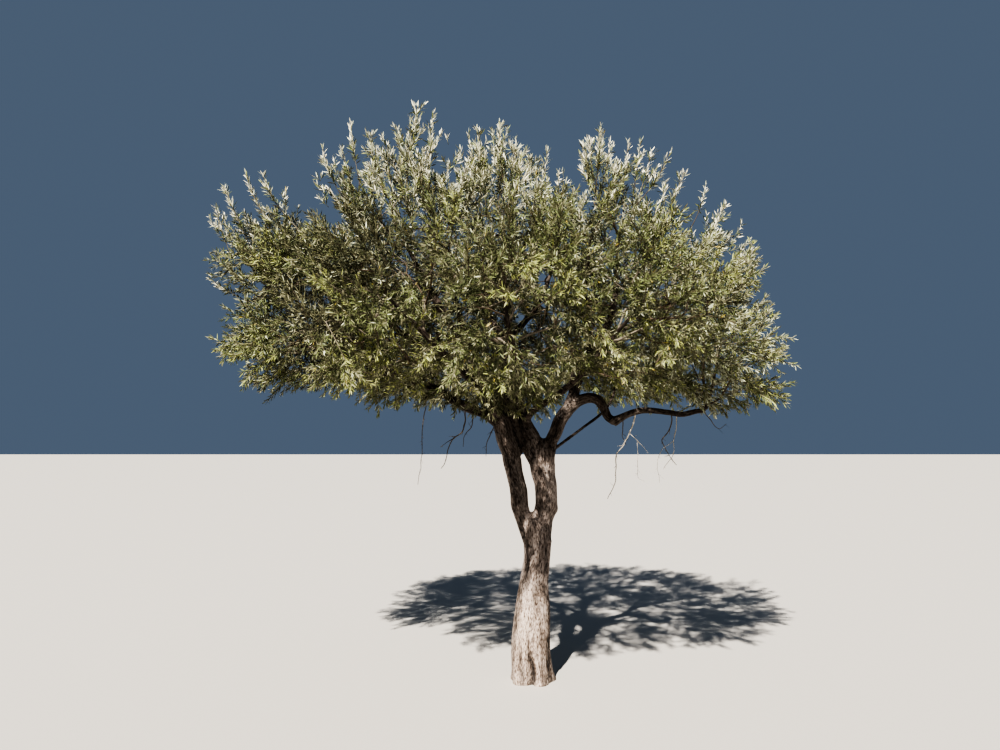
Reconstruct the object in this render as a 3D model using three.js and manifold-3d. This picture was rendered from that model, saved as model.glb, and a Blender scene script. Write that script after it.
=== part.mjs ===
// An olive tree of about thirty years, grown on one trunk that forks low into two stems.
// Millimetres, +Z up. The origin is the centre of the flat cut under the trunk, at ground level.
// -Y is the side that is seen from the front, and +X is the tree's right as seen from there.
//
// The limbs are tapering tubes bent along curves. The crown is a shell of uneven foliage masses
// round an open middle, where the boughs run. Each bough ends at the face of the mass it enters.
import * as THREE from "three";
import { mergeVertices } from "three/addons/utils/BufferGeometryUtils.js";
import Module from "manifold-3d";

const wasm = await Module();
wasm.setup();

// Driving sizes
const GAP = 0.3; // clearance between two pieces that touch
const LIMB_SIDES = 8;
const STEM_SIDES = 12;
const TRUNK_SIDES = 18;
const RING_SPACING = 150; // between two rings of a limb
const MASS_DETAIL = 3; // splits of the icosahedron that each mass starts from
const SEED_STEP = 7919; // between the seeds of two masses
const WELD = 0.001; // corners nearer than this are one

const BARK = { color: 0x8b8073, roughness: 0.95, metalness: 0 };
const LEAVES = { color: 0x77804f, roughness: 0.8, metalness: 0 };

// The trunk, from the ground to its fork: [height, lean to the right, width, depth] of each level
const TRUNK = [
  [0, 0, 288, 278],
  [60, -4, 270, 262],
  [190, -11, 257, 250],
  [320, -6, 250, 242],
  [450, 3, 234, 228],
  [580, 9, 201, 200],
  [645, 14, 184, 186],
  [710, 23, 178, 180],
  [775, 32, 171, 173],
  [875, 35, 180, 172],
  [970, 28, 202, 170],
  [1035, 19, 241, 168],
  [1085, 14, 282, 164],
];
const FLARE = { lobes: 5, depth: 0.09, fades: 90, turn: 0.6 }; // ridges of the roots at the foot

// The stems, each with stations [x, y, z, radius] from inside what carries it to its head
const STEMS = [
  {
    name: "stem_left",
    stations: [
      [-38, 0, 980, 54],
      [-72, -6, 1100, 57],
      [-92, -16, 1233, 56],
      [-121, -28, 1365, 57],
      [-148, -38, 1498, 58],
      [-191, -50, 1624, 58],
      [-226, -60, 1715, 53],
    ],
  },
  {
    name: "stem_right",
    stations: [
      [70, 0, 980, 70],
      [86, 2, 1100, 73],
      [87, 4, 1233, 74],
      [80, 8, 1365, 82],
      [68, 10, 1485, 92],
    ],
  },
  {
    name: "stem_middle",
    stations: [
      [30, 12, 1430, 56],
      [4, 24, 1556, 55],
      [-36, 42, 1626, 54],
      [-62, 62, 1700, 52],
      [-86, 86, 1772, 50],
      [-104, 110, 1850, 46],
    ],
  },
  {
    name: "stem_outer",
    stations: [
      [106, 4, 1430, 48],
      [130, 2, 1556, 42],
      [161, 0, 1628, 44],
      [190, 0, 1698, 45],
      [236, 0, 1764, 44],
      [270, 0, 1818, 41],
    ],
  },
];

// The boughs: what carries each, how far up it (0 to 1), the mass it enters, the points it bends
// through on the way there, and its radius at both ends
const BOUGHS = [
  {
    name: "bough_top_right",
    from: "stem_outer",
    at: 0.96,
    through: [
      [285, 5, 1885],
      [300, 10, 2007],
      [361, 15, 2109],
      [443, 10, 2237],
      [531, 5, 2372],
    ],
    enters: "foliage_top_right",
    radius: [33, 17],
  },
  {
    name: "bough_arch",
    from: "stem_outer",
    at: 0.94,
    through: [
      [323, -10, 1828],
      [388, -30, 1845],
      [439, -45, 1829],
      [474, -60, 1776],
      [500, -80, 1716],
      [532, -100, 1686],
    ],
    radius: [38, 27],
  },
  {
    name: "bough_right_low",
    from: "bough_arch",
    at: 1,
    through: [
      [576, -100, 1706],
      [641, -105, 1738],
      [706, -110, 1758],
      [792, -110, 1758],
      [883, -110, 1746],
      [988, -110, 1732],
      [1067, -108, 1751],
      [1133, -100, 1774],
    ],
    enters: "foliage_right_low",
    radius: [24, 11],
  },
  {
    name: "shoot_right",
    from: "stem_right",
    at: 0.9,
    through: [
      [190, 20, 1532],
      [350, 70, 1648],
      [500, 120, 1760],
      [590, 250, 1900],
    ],
    enters: "foliage_back_right",
    radius: [11, 8],
  },
  {
    name: "bough_left_low",
    from: "stem_left",
    at: 0.95,
    through: [
      [-311, -70, 1738],
      [-410, -90, 1772],
      [-505, -110, 1816],
      [-605, -130, 1878],
      [-900, -150, 2000],
    ],
    enters: "foliage_left_low",
    radius: [34, 14],
  },
  {
    name: "bough_top_left",
    from: "stem_left",
    at: 0.98,
    through: [
      [-290, -62, 1870],
      [-390, -50, 2110],
      [-610, -20, 2440],
    ],
    enters: "foliage_top_left",
    radius: [38, 17],
  },
  {
    name: "bough_left_top",
    from: "bough_top_left",
    at: 0.18,
    through: [
      [-580, 60, 2100],
      [-1030, 70, 2390],
    ],
    enters: "foliage_left_top",
    radius: [27, 13],
  },
  {
    name: "bough_front_left",
    from: "stem_left",
    at: 0.96,
    through: [
      [-300, -200, 1850],
      [-480, -460, 2020],
    ],
    enters: "foliage_front_left",
    radius: [29, 15],
  },
  {
    name: "bough_top_front_left",
    from: "bough_top_left",
    at: 0.34,
    through: [[-480, -300, 2390]],
    enters: "foliage_top_front_left",
    radius: [22, 13],
  },
  {
    name: "bough_top_mid",
    from: "stem_middle",
    at: 0.98,
    through: [
      [-112, 90, 2020],
      [-150, 40, 2320],
    ],
    enters: "foliage_top_mid",
    radius: [37, 18],
  },
  {
    name: "bough_front_mid",
    from: "stem_middle",
    at: 0.9,
    through: [
      [-100, -110, 1900],
      [-130, -420, 2060],
    ],
    enters: "foliage_front_mid",
    radius: [28, 15],
  },
  {
    name: "bough_back_left",
    from: "stem_middle",
    at: 0.84,
    through: [
      [-290, 240, 1930],
      [-560, 470, 2120],
    ],
    enters: "foliage_back_left",
    radius: [30, 15],
  },
  {
    name: "bough_back_mid",
    from: "stem_middle",
    at: 0.93,
    through: [
      [-100, 290, 1990],
      [-130, 580, 2190],
    ],
    enters: "foliage_back_mid",
    radius: [30, 15],
  },
  {
    name: "bough_top_back_left",
    from: "bough_top_mid",
    at: 0.25,
    through: [[-330, 330, 2520]],
    enters: "foliage_top_back_left",
    radius: [24, 13],
  },
  {
    name: "bough_top_back_right",
    from: "bough_top_mid",
    at: 0.34,
    through: [[60, 380, 2540]],
    enters: "foliage_top_back_right",
    radius: [23, 13],
  },
  {
    name: "bough_top_front_right",
    from: "bough_top_right",
    at: 0.34,
    through: [[330, -260, 2380]],
    enters: "foliage_top_front_right",
    radius: [20, 12],
  },
  {
    name: "bough_front_right",
    from: "stem_middle",
    at: 0.66,
    through: [
      [0, -60, 1753],
      [81, -160, 1808],
      [227, -350, 1911],
    ],
    enters: "foliage_front_right",
    radius: [26, 14],
  },
  {
    name: "bough_back_right",
    from: "bough_top_right",
    at: 0.08,
    through: [
      [360, 200, 2010],
      [500, 480, 2160],
    ],
    enters: "foliage_back_right",
    radius: [27, 14],
  },
  {
    name: "bough_right_shoulder",
    from: "bough_top_right",
    at: 0.42,
    through: [[720, 60, 2360]],
    enters: "foliage_right_shoulder",
    radius: [21, 12],
  },
];

// The foliage masses: centre, half of the width, depth and height, and the tips of the shoots that
// stand furthest out of each
const MASSES = [
  {
    name: "foliage_left_top",
    centre: [-1640, 10, 2770],
    half: [490, 540, 410],
    tips: [
      [-1950, -30, 3390],
      [-2150, 0, 3140],
      [-2190, 0, 2660],
    ],
  },
  {
    name: "foliage_left_low",
    centre: [-1540, -140, 2190],
    half: [510, 600, 410],
    tips: [
      [-1750, -160, 1805],
      [-2050, -60, 2320],
    ],
  },
  {
    name: "foliage_top_left",
    centre: [-940, 0, 3060],
    half: [620, 600, 620],
    tips: [
      [-780, 0, 3892],
      [-1235, -20, 3760],
      [-1430, 0, 3590],
    ],
  },
  {
    name: "foliage_top_mid",
    centre: [-190, -40, 3060],
    half: [470, 600, 610],
    tips: [
      [-215, 0, 3790],
      [-430, 0, 3710],
      [115, 0, 3575],
    ],
  },
  {
    name: "foliage_top_right",
    centre: [600, 0, 2970],
    half: [490, 600, 620],
    tips: [
      [480, 0, 3762],
      [750, -20, 3640],
      [960, 0, 3560],
    ],
  },
  {
    name: "foliage_right_shoulder",
    centre: [1120, 30, 2730],
    half: [400, 540, 470],
    tips: [
      [1195, 0, 3325],
      [1320, 0, 3190],
      [1455, 0, 3060],
    ],
  },
  {
    name: "foliage_right_low",
    centre: [1250, -40, 2130],
    half: [480, 600, 410],
    tips: [
      [1745, 0, 2150],
      [1700, -20, 1830],
      [1390, -60, 1700],
    ],
  },
  {
    name: "foliage_front_left",
    centre: [-860, -900, 2390],
    half: [640, 650, 620],
    tips: [
      [-900, -1560, 2300],
      [-1000, -1250, 1850],
    ],
  },
  {
    name: "foliage_front_mid",
    centre: [-190, -1130, 2330],
    half: [540, 640, 600],
    tips: [
      [-180, -1790, 2260],
      [-120, -1200, 1720],
    ],
  },
  {
    name: "foliage_front_right",
    centre: [620, -880, 2370],
    half: [580, 650, 590],
    tips: [
      [700, -1540, 2330],
      [480, -1200, 1840],
    ],
  },
  {
    name: "foliage_back_left",
    centre: [-1020, 930, 2430],
    half: [700, 680, 650],
    tips: [[-1500, 1440, 2560]],
  },
  {
    name: "foliage_back_mid",
    centre: [-180, 1200, 2440],
    half: [640, 640, 670],
    tips: [[-200, 1860, 2600]],
  },
  {
    name: "foliage_back_right",
    centre: [700, 940, 2370],
    half: [680, 660, 620],
    tips: [[1180, 1440, 2420]],
  },
  {
    name: "foliage_top_back_left",
    centre: [-640, 690, 3060],
    half: [650, 540, 530],
    tips: [
      [-700, 900, 3640],
      [-1050, 800, 3480],
    ],
  },
  {
    name: "foliage_top_back_right",
    centre: [240, 730, 3000],
    half: [640, 550, 530],
    tips: [
      [260, 900, 3560],
      [620, 820, 3400],
    ],
  },
  {
    name: "foliage_top_front_left",
    centre: [-640, -640, 2880],
    half: [620, 520, 480],
    tips: [
      [-620, -740, 3340],
      [-990, -740, 3220],
    ],
  },
  {
    name: "foliage_top_front_right",
    centre: [330, -640, 2780],
    half: [560, 520, 440],
    tips: [
      [480, -720, 3210],
      [780, -700, 3090],
    ],
  },
];

// The swellings and hollows of a mass: how many, how far in and out, how narrow, and how rough it
// is between them
const BUMPS = { count: 24, inmost: -0.26, outmost: 0.24, broad: 14, narrow: 36, rough: 0.05 };

// A repeatable source of numbers from 0 to 1
function seeded(seed) {
  const [factor, step, range] = [1664525, 1013904223, 2 ** 32];
  let state = seed;
  return () => {
    state = (state * factor + step) % range;
    return state / range;
  };
}

function vector(point) {
  return new THREE.Vector3(...point);
}

function curveOf(points) {
  return new THREE.CatmullRomCurve3(points, false, "centripetal");
}

function massNamed(name) {
  return MASSES.find((mass) => mass.name === name);
}

// A closed geometry as a solid that can be joined and cut
function solidOf(geometry) {
  const bare = new THREE.BufferGeometry();
  bare.setAttribute("position", geometry.getAttribute("position"));
  bare.setIndex(geometry.index);
  const merged = mergeVertices(bare, WELD);
  return new wasm.Manifold(
    new wasm.Mesh({
      numProp: 3,
      vertProperties: merged.attributes.position.array,
      triVerts: new Uint32Array(merged.index.array),
    }),
  );
}

// A solid as a geometry
function geometryOf(solid) {
  const mesh = solid.getMesh();
  const points = new Float32Array(mesh.numVert * 3);
  for (let i = 0; i < mesh.numVert; i++) {
    points.set(mesh.vertProperties.subarray(i * mesh.numProp, i * mesh.numProp + 3), i * 3);
  }
  const geometry = new THREE.BufferGeometry();
  geometry.setAttribute("position", new THREE.BufferAttribute(points, 3));
  geometry.setIndex(new THREE.BufferAttribute(mesh.triVerts, 1));
  return geometry;
}

// The largest of the bodies that a cut leaves
function largest(solid) {
  return solid.decompose().sort((a, b) => b.volume() - a.volume())[0];
}

// The trunk: a cylinder whose rings take the width, depth and lean of the levels in TRUNK, with
// ridges of roots at its foot that fade upwards
function trunkGeometry(extra = 0) {
  const rings = TRUNK.length - 1;
  const geometry = new THREE.CylinderGeometry(1, 1, 1, TRUNK_SIDES, rings);
  const position = geometry.getAttribute("position");
  for (let i = 0; i < position.count; i++) {
    const level = Math.round((position.getY(i) + 0.5) * rings);
    const [height, lean, width, depth] = TRUNK[level];
    const [across, along] = [position.getX(i), -position.getZ(i)];
    const turn = Math.atan2(along, across);
    const ridge = Math.cos(FLARE.lobes * turn + FLARE.turn);
    const swell = 1 + FLARE.depth * ridge * Math.exp(-height / FLARE.fades);
    const lift = level === rings ? extra : 0;
    position.setXYZ(
      i,
      lean + across * ((width / 2) * swell + extra),
      along * ((depth / 2) * swell + extra),
      height + lift,
    );
  }
  return geometry;
}

// A limb: a cylinder whose axis is bent along a curve, and whose radius runs through the given
// radii, one for each point of the curve
function limbGeometry({ points, radii, sides }, extra = 0) {
  const curve = curveOf(points);
  const rings = Math.max(4, Math.round(curve.getLength() / RING_SPACING));
  const frames = curve.computeFrenetFrames(rings);
  const geometry = new THREE.CylinderGeometry(1, 1, 1, sides, rings);
  const position = geometry.getAttribute("position");
  for (let i = 0; i < position.count; i++) {
    const ring = Math.round((position.getY(i) + 0.5) * rings);
    const share = curve.getUtoTmapping(ring / rings) * (radii.length - 1);
    const before = Math.min(Math.floor(share), radii.length - 2);
    const radius = THREE.MathUtils.lerp(radii[before], radii[before + 1], share - before) + extra;
    const place = curve.getPointAt(ring / rings);
    const lift = { 0: -extra, [rings]: extra }[ring] ?? 0;
    place.addScaledVector(frames.normals[ring], position.getX(i) * radius);
    place.addScaledVector(frames.binormals[ring], -position.getZ(i) * radius);
    place.addScaledVector(frames.tangents[ring], lift);
    position.setXYZ(i, place.x, place.y, place.z);
  }
  return geometry;
}

// The radius of an ellipsoid along a direction
function ellipsoidRadius(half, direction) {
  return 1 / Math.hypot(direction.x / half[0], direction.y / half[1], direction.z / half[2]);
}

// The planes that keep a mass on its own side of each of its neighbours. Each stands across the
// line between the two centres, where their ellipsoids share it out.
function wallsOf(mass) {
  return MASSES.filter((other) => other !== mass).map((other) => {
    const normal = vector(other.centre).sub(vector(mass.centre));
    const apart = normal.length();
    normal.normalize();
    const mine = ellipsoidRadius(mass.half, normal);
    const theirs = ellipsoidRadius(other.half, normal);
    return { normal, at: (apart * mine) / (mine + theirs) - GAP / 2 };
  });
}

// How far a mass reaches in each direction: an ellipsoid with seeded swellings and hollows
function reachOf(mass, directions) {
  const random = seeded(1 + MASSES.indexOf(mass) * SEED_STEP);
  const bumps = Array.from({ length: BUMPS.count }, () => ({
    towards: vector([random() - 0.5, random() - 0.5, random() - 0.5]).normalize(),
    height: THREE.MathUtils.lerp(BUMPS.inmost, BUMPS.outmost, random()),
    width: THREE.MathUtils.lerp(BUMPS.broad, BUMPS.narrow, random()),
  }));
  return directions.map((direction) => {
    let radius = ellipsoidRadius(mass.half, direction) * (1 + BUMPS.rough * (random() * 2 - 1));
    for (const { towards, height, width } of bumps) {
      radius *= 1 + height * Math.exp(width * (direction.dot(towards) - 1));
    }
    return radius;
  });
}

// Moves the nearest free corner of a mass to each of its tips
function drawOut(mass, directions, reach) {
  const drawn = new Set();
  for (const tip of mass.tips) {
    const way = vector(tip).sub(vector(mass.centre));
    const length = way.length();
    way.normalize();
    const nearness = directions.map((direction, i) => (drawn.has(i) ? -1 : direction.dot(way)));
    const nearest = nearness.indexOf(Math.max(...nearness));
    drawn.add(nearest);
    directions[nearest] = way;
    reach[nearest] = length;
  }
}

// Holds every corner of a mass behind its walls
function holdBack(mass, directions, reach) {
  for (const { normal, at } of wallsOf(mass)) {
    directions.forEach((direction, i) => {
      const facing = direction.dot(normal);
      if (facing > 0) reach[i] = Math.min(reach[i], at / facing);
    });
  }
}

// A foliage mass: an icosahedron split into small faces, with each corner moved to its reach
function massGeometry(mass, extra = 0) {
  const sphere = new THREE.IcosahedronGeometry(1, MASS_DETAIL);
  const geometry = mergeVertices(sphere.deleteAttribute("normal").deleteAttribute("uv"));
  const position = geometry.getAttribute("position");
  const directions = Array.from({ length: position.count }, (_, i) =>
    new THREE.Vector3().fromBufferAttribute(position, i).normalize(),
  );
  const reach = reachOf(mass, directions);
  drawOut(mass, directions, reach);
  holdBack(mass, directions, reach);
  directions.forEach((direction, i) => {
    const place = direction.clone().multiplyScalar(reach[i] + extra).add(vector(mass.centre));
    position.setXYZ(i, place.x, place.y, place.z);
  });
  return geometry;
}

// The route of a bough: from the heart of what carries it, through its own points, to the middle of
// the mass that it enters
function boughRoute(bough, limbs) {
  const foot = curveOf(limbs.get(bough.from).points).getPointAt(bough.at);
  const points = [foot, ...bough.through.map(vector)];
  if (bough.enters) points.push(vector(massNamed(bough.enters).centre));
  const [base, tip] = bough.radius;
  const radii = points.map((_, i) => THREE.MathUtils.lerp(base, tip, i / (points.length - 1)));
  return { points, radii, sides: LIMB_SIDES };
}

// Every limb's route by name, in the order in which they grow
function limbRoutes() {
  const limbs = new Map();
  for (const { name, stations } of STEMS) {
    limbs.set(name, {
      points: stations.map(([x, y, z]) => vector([x, y, z])),
      radii: stations.map((station) => station[3]),
      sides: STEM_SIDES,
    });
  }
  for (const bough of BOUGHS) {
    limbs.set(bough.name, { ...boughRoute(bough, limbs), enters: bough.enters });
  }
  return limbs;
}

// The wooden pieces: each limb is cut back by those before it, and at the face of its own mass
function limbSolids(limbs) {
  const solids = new Map([["trunk", solidOf(trunkGeometry())]]);
  const grown = [solidOf(trunkGeometry(GAP))];
  for (const [name, limb] of limbs) {
    let solid = solidOf(limbGeometry(limb));
    for (const other of grown) solid = solid.subtract(other);
    if (limb.enters) solid = solid.subtract(solidOf(massGeometry(massNamed(limb.enters), GAP)));
    solids.set(name, largest(solid));
    grown.push(solidOf(limbGeometry(limb, GAP)));
  }
  return solids;
}

// The foliage pieces: each mass is cut round the limbs that only pass it
function massSolids(limbs) {
  return new Map(
    MASSES.map((mass) => {
      let solid = solidOf(massGeometry(mass));
      for (const limb of limbs.values()) {
        if (limb.enters !== mass.name) solid = solid.subtract(solidOf(limbGeometry(limb, GAP)));
      }
      return [mass.name, largest(solid)];
    }),
  );
}

// Adds each solid to the tree as a mesh of its own name
function addPieces(tree, solids, look) {
  for (const [name, solid] of solids) {
    const mesh = new THREE.Mesh(geometryOf(solid), new THREE.MeshStandardMaterial(look));
    mesh.name = name;
    tree.add(mesh);
  }
}

const tree = new THREE.Group();
const limbs = limbRoutes();
addPieces(tree, limbSolids(limbs), BARK);
addPieces(tree, massSolids(limbs), LEAVES);

export default tree;
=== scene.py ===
# %% [markdown]
# # An olive tree, grown leaf by leaf
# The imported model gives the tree's true place and size: a trunk, stems and boughs as plain tubes,
# and a crown of seventeen uneven foliage masses. This lesson grows the real thing inside them:
# one skin of fissured bark over all the wood, limbs that fork on from the end of each bough,
# sprays of shoots at the ends of the limbs, and pairs of slender leaves along every shoot.

# %% Load the model that everything is fitted to
from itertools import product
from math import radians

import bmesh
import bpy
import numpy as np
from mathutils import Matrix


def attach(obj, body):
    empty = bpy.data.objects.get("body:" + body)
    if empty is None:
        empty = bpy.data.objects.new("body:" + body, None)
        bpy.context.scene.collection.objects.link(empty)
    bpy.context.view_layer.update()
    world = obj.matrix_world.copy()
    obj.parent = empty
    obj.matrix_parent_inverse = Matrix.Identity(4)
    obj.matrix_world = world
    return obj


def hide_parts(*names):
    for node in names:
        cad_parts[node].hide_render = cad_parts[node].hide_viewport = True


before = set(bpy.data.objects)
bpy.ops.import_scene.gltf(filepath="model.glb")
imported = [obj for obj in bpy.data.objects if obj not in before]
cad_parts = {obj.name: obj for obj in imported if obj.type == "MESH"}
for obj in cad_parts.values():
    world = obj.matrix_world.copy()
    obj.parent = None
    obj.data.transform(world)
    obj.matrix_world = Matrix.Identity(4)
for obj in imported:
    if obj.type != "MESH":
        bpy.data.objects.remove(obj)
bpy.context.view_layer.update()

# %% [markdown]
# ## The camera
# The photograph was taken with a phone's main lens, held at eye height about five and a half
# metres from the trunk and tilted up a little. A camera with the same lens at the same spot makes
# every width and height in the render comparable with the photograph.

# %% Camera
EYE = (-0.212, -5.4, 1.6)
LENS_MM, SENSOR_MM = 29.016, 36
TILT_UP = 4.23  # degrees


def in_scene(name, data):
    """A new object of the scene, made of a mesh, a lamp's or a camera's data"""
    made = bpy.data.objects.new(name, data)
    bpy.context.scene.collection.objects.link(made)
    return made


camera_data = bpy.data.cameras.new("camera")
camera_data.lens, camera_data.sensor_width = LENS_MM, SENSOR_MM
camera = in_scene("camera", camera_data)
camera.location = EYE
camera.rotation_euler = (radians(90 + TILT_UP), 0, 0)
bpy.context.scene.camera = camera
print("camera at", EYE, "tilted up", TILT_UP, "degrees")

# %% [markdown]
# ## Light
# One strong lamp, a little to the left behind the camera and halfway up the sky, does the work of
# the sun in the photograph: it lights the faces of the leaves and leaves the inside of the crown
# dark, which is what makes single sprays readable. A weak blue-grey surround fills the shadows, as
# a clear sky does.

# %% Light
SUN_TURN, SUN_HEIGHT = -18, 42  # degrees from the camera's line, less than 0 to the left, and up
SUN_STRENGTH, SUN_COLOUR, SUN_WIDTH = 8.6, (1, 0.945, 0.86), 0.9  # the width in degrees
SKY_STRENGTH, SKY_COLOUR = 0.4, (0.25, 0.33, 0.46, 1)

lamp = bpy.data.lights.new("key_light", "SUN")
lamp.energy, lamp.color, lamp.angle = SUN_STRENGTH, SUN_COLOUR, radians(SUN_WIDTH)
in_scene("key_light", lamp).rotation_euler = (radians(90 - SUN_HEIGHT), 0, radians(SUN_TURN))

surround = bpy.data.worlds.new("surround")
surround.use_nodes = True
sky = surround.node_tree.nodes["Background"].inputs
sky["Color"].default_value, sky["Strength"].default_value = SKY_COLOUR, SKY_STRENGTH
bpy.context.scene.world = surround
view = bpy.context.scene.view_settings
view.view_transform, view.look = "AgX", "AgX - Very High Contrast"
print("light from", SUN_TURN, "degrees,", SUN_HEIGHT, "up")

# %% [markdown]
# ## Pieces, plain finishes and the floor
# Every new surface is worked out as an array of points and arrays of faces, and one function makes
# a piece of them. The tree stands on a plain pale floor, which isn't part of it.

# %% Pieces and floor
FLOOR_HALF = 60


def plain_finish(name, colour, roughness, specular=0.5):
    """A finish of one even colour, with every number on the shader's own sockets"""
    material = bpy.data.materials.new(name)
    material.use_nodes = True
    shader = material.node_tree.nodes["Principled BSDF"].inputs
    shader["Base Color"].default_value = material.diffuse_color = (*colour, 1)
    shader["Roughness"].default_value = roughness
    shader["Specular IOR Level"].default_value = specular
    return material


def mesh_piece(name, points, faces, finishes, finish_of_face=0, smooth=True):
    """An object from an array of points and a list of face arrays, each of them with its own
    number of corners. finish_of_face gives each face the index of its finish."""
    counts = np.concatenate([np.full(len(group), group.shape[1]) for group in faces])
    corners = np.concatenate([group.ravel() for group in faces])
    mesh = bpy.data.meshes.new(name)
    mesh.vertices.add(len(points))
    mesh.vertices.foreach_set("co", np.asarray(points, np.float32).ravel())
    mesh.loops.add(len(corners))
    mesh.loops.foreach_set("vertex_index", corners.astype(np.int32))
    mesh.polygons.add(len(counts))
    mesh.polygons.foreach_set("loop_start", (np.cumsum(counts) - counts).astype(np.int32))
    mesh.polygons.foreach_set("use_smooth", np.full(len(counts), smooth))
    for finish in finishes:
        mesh.materials.append(finish)
    mesh.polygons.foreach_set("material_index", np.full(len(counts), finish_of_face, np.int32))
    mesh.update(calc_edges=True)
    return in_scene(name, mesh)


floor_corners = FLOOR_HALF * np.array([[-1, -1, 0], [1, -1, 0], [1, 1, 0], [-1, 1, 0]])
floor = mesh_piece("floor", floor_corners, [np.arange(4)[None]],
                   [plain_finish("floor", (0.48, 0.455, 0.42), 0.9)])
print("floor", 2 * FLOOR_HALF, "m wide")

# %% [markdown]
# ## Directions and curves
# Places and directions are arrays whose last axis is x, y, z, so that one line of code serves one
# point or a million. A few small functions on them are used everywhere after this.
#
# Wood grows in curves without corners. A centripetal Catmull-Rom curve runs through given points
# and never loops, so a handful of measured points is enough for a whole limb.


# %% Directions
def unit(v):
    """v divided by its length, along the last axis"""
    return v / np.maximum(np.linalg.norm(v, axis=-1, keepdims=True), 1e-9)


def square_off(v, way):
    """The direction of v without its part along way: v - way (v · way)"""
    return unit(v - way * (v * way).sum(-1, keepdims=True))


def turned(angle, a, b):
    """The direction a turned by an angle towards b: cos angle · a + sin angle · b"""
    return np.cos(angle)[..., None] * a + np.sin(angle)[..., None] * b


def rise(value, start, span):
    """0 up to the start, then growing evenly to 1 over the span"""
    return np.clip((value - start) / span, 0, 1)


print("x turned by 30 degrees towards y:", turned(radians(30), *np.eye(3)[:2]).round(3))


# %% Curves
def smooth_curve(points, steps=24):
    """The centripetal Catmull-Rom curve through the points, in any number of columns. Its knots
    are spaced by the square root of the gaps, and each span is blended in three rounds."""
    p = np.asarray(points, float)
    p = np.vstack([2 * p[0] - p[1], p, 2 * p[-1] - p[-2]])
    gaps = np.sqrt(np.linalg.norm(np.diff(p, axis=0), axis=1))
    spans = len(gaps) - 2
    knots = np.concatenate([[0], np.cumsum(gaps)])
    knots = [knots[i : i + spans, None] for i in range(4)]
    t = knots[1] + (knots[2] - knots[1]) * np.arange(steps) / steps

    def blend(a, b, start, end):
        return ((end - t)[..., None] * a + (t - start)[..., None] * b) / (end - start)[..., None]

    blends = [p[i : i + spans, None] for i in range(4)]
    for first, reach in ((0, 1), (0, 2), (1, 1)):
        blends = [blend(*blends[i : i + 2], knots[first + i], knots[first + i + reach])
                  for i in range(len(blends) - 1)]
    return np.vstack([blends[0].reshape(-1, p.shape[1]), p[-2]])


sample = smooth_curve([(0, 0, 0), (0, 0, 1), (0, 1, 1)])
print("a curve through three points has", len(sample), "points")

# %% Courses of limbs
LIMB_SPACING = 0.012  # between two stations of a limb


def distance_along(curve):
    """How far each point of a curve is from its start, measured along it"""
    return np.concatenate([[0], np.cumsum(np.linalg.norm(np.diff(curve[:, :3], axis=0), axis=1))])


def redrawn(curve, count):
    """A curve with a set number of points, at equal distances along it"""
    along = distance_along(curve)
    at = np.linspace(0, along[-1], count)
    return np.stack([np.interp(at, along, column) for column in curve.T], 1)


def course(points):
    """The smooth curve through some points, with its stations LIMB_SPACING apart"""
    curve = smooth_curve(points)
    spaces = int(round(distance_along(curve)[-1] / LIMB_SPACING))
    return redrawn(curve, max(2, spaces) + 1)


print("it is", distance_along(sample)[-1].round(2), "m long:", len(course(sample)), "stations")

# %% [markdown]
# ## A noise that can be repeated
# Lattice noise gives bark, sprays and leaves their unevenness: it draws one number for each corner
# of a grid in space and blends them, so the same place always gives the same value.


# %% Noise
AXIS_HASH = (73856093, 19349663, 83492791)  # large numbers that share no factor
SEED_HASH, ROUND_HASHES = 374761393, ((15, 2246822519), (13, 3266489917))
LOW_BITS = 0xFFFFFFFF


def cell_corners(share):
    """The eight corners of a cell, each with its weight at some places in the cell: the product
    over the axes of the share, or of one minus the share"""
    for corner in product((0, 1), repeat=3):
        corner = np.array(corner)
        yield corner, np.where(corner == 1, share, 1 - share).prod(-1)


def noise(points, seed=0):
    """Lattice noise from -1 to 1: a hashed number at each whole corner round a point, blended by
    3t² - 2t³ along each axis"""
    base = np.floor(points).astype(np.int64)
    t = points - base
    total = np.zeros(points.shape[:-1])
    for corner, weight in cell_corners(t * t * (3 - 2 * t)):
        mixed = np.bitwise_xor.reduce((base + corner) * AXIS_HASH, -1) ^ (seed * SEED_HASH)
        mixed &= LOW_BITS
        for shift, factor in ROUND_HASHES:
            mixed = ((mixed ^ (mixed >> shift)) * factor) & LOW_BITS
        total += ((mixed ^ (mixed >> 16)) / 2**31 - 1) * weight
    return total


def noise_at(*columns, seed):
    """Noise read at places that are given by their three columns, or by one number for a column"""
    return noise(np.stack(np.broadcast_arrays(*columns), -1), seed)


print("noise at three places:", noise_at([0.5, 1.5, 9], [0, 2, 9], [0, 3, 9.5], seed=0).round(3))

# %% [markdown]
# ## A tube with any profile
# Trunk, limbs and shoots are the same surface: a closed profile carried along a path. Two
# directions square to the path are kept from turning by taking one fixed direction per tube and
# removing the part of it that runs along the path. A whole family of tubes with the same number of
# stations is worked out in one go.


# %% Frames
NEARLY_UPRIGHT = 0.8  # the upward part of a direction, past which another helper is needed


def square_to(ways, reference):
    """Two directions square to each way and to one another, the first nearest the reference"""
    side = square_off(reference, ways)
    return side, np.cross(ways, side)


def frames_along(paths, reference=None):
    """Tangent, normal and binormal at each station of each path. The normal is the reference
    direction without its part along the tangent; the binormal is square to both."""
    tangent = unit(np.gradient(paths, axis=1))
    if reference is None:
        whole = unit(paths[:, -1] - paths[:, 0])
        helper = np.where(np.abs(whole[:, 2:3]) < NEARLY_UPRIGHT, [[0, 0, 1.0]], [[1.0, 0, 0]])
        reference = unit(np.cross(whole, helper))
    return tangent, *square_to(tangent, reference[:, None])


straight = np.arange(4.0)[None, :, None] * [0, 0, 1]
print("normal of an upright path:", frames_along(straight)[1][0, 0])


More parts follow.
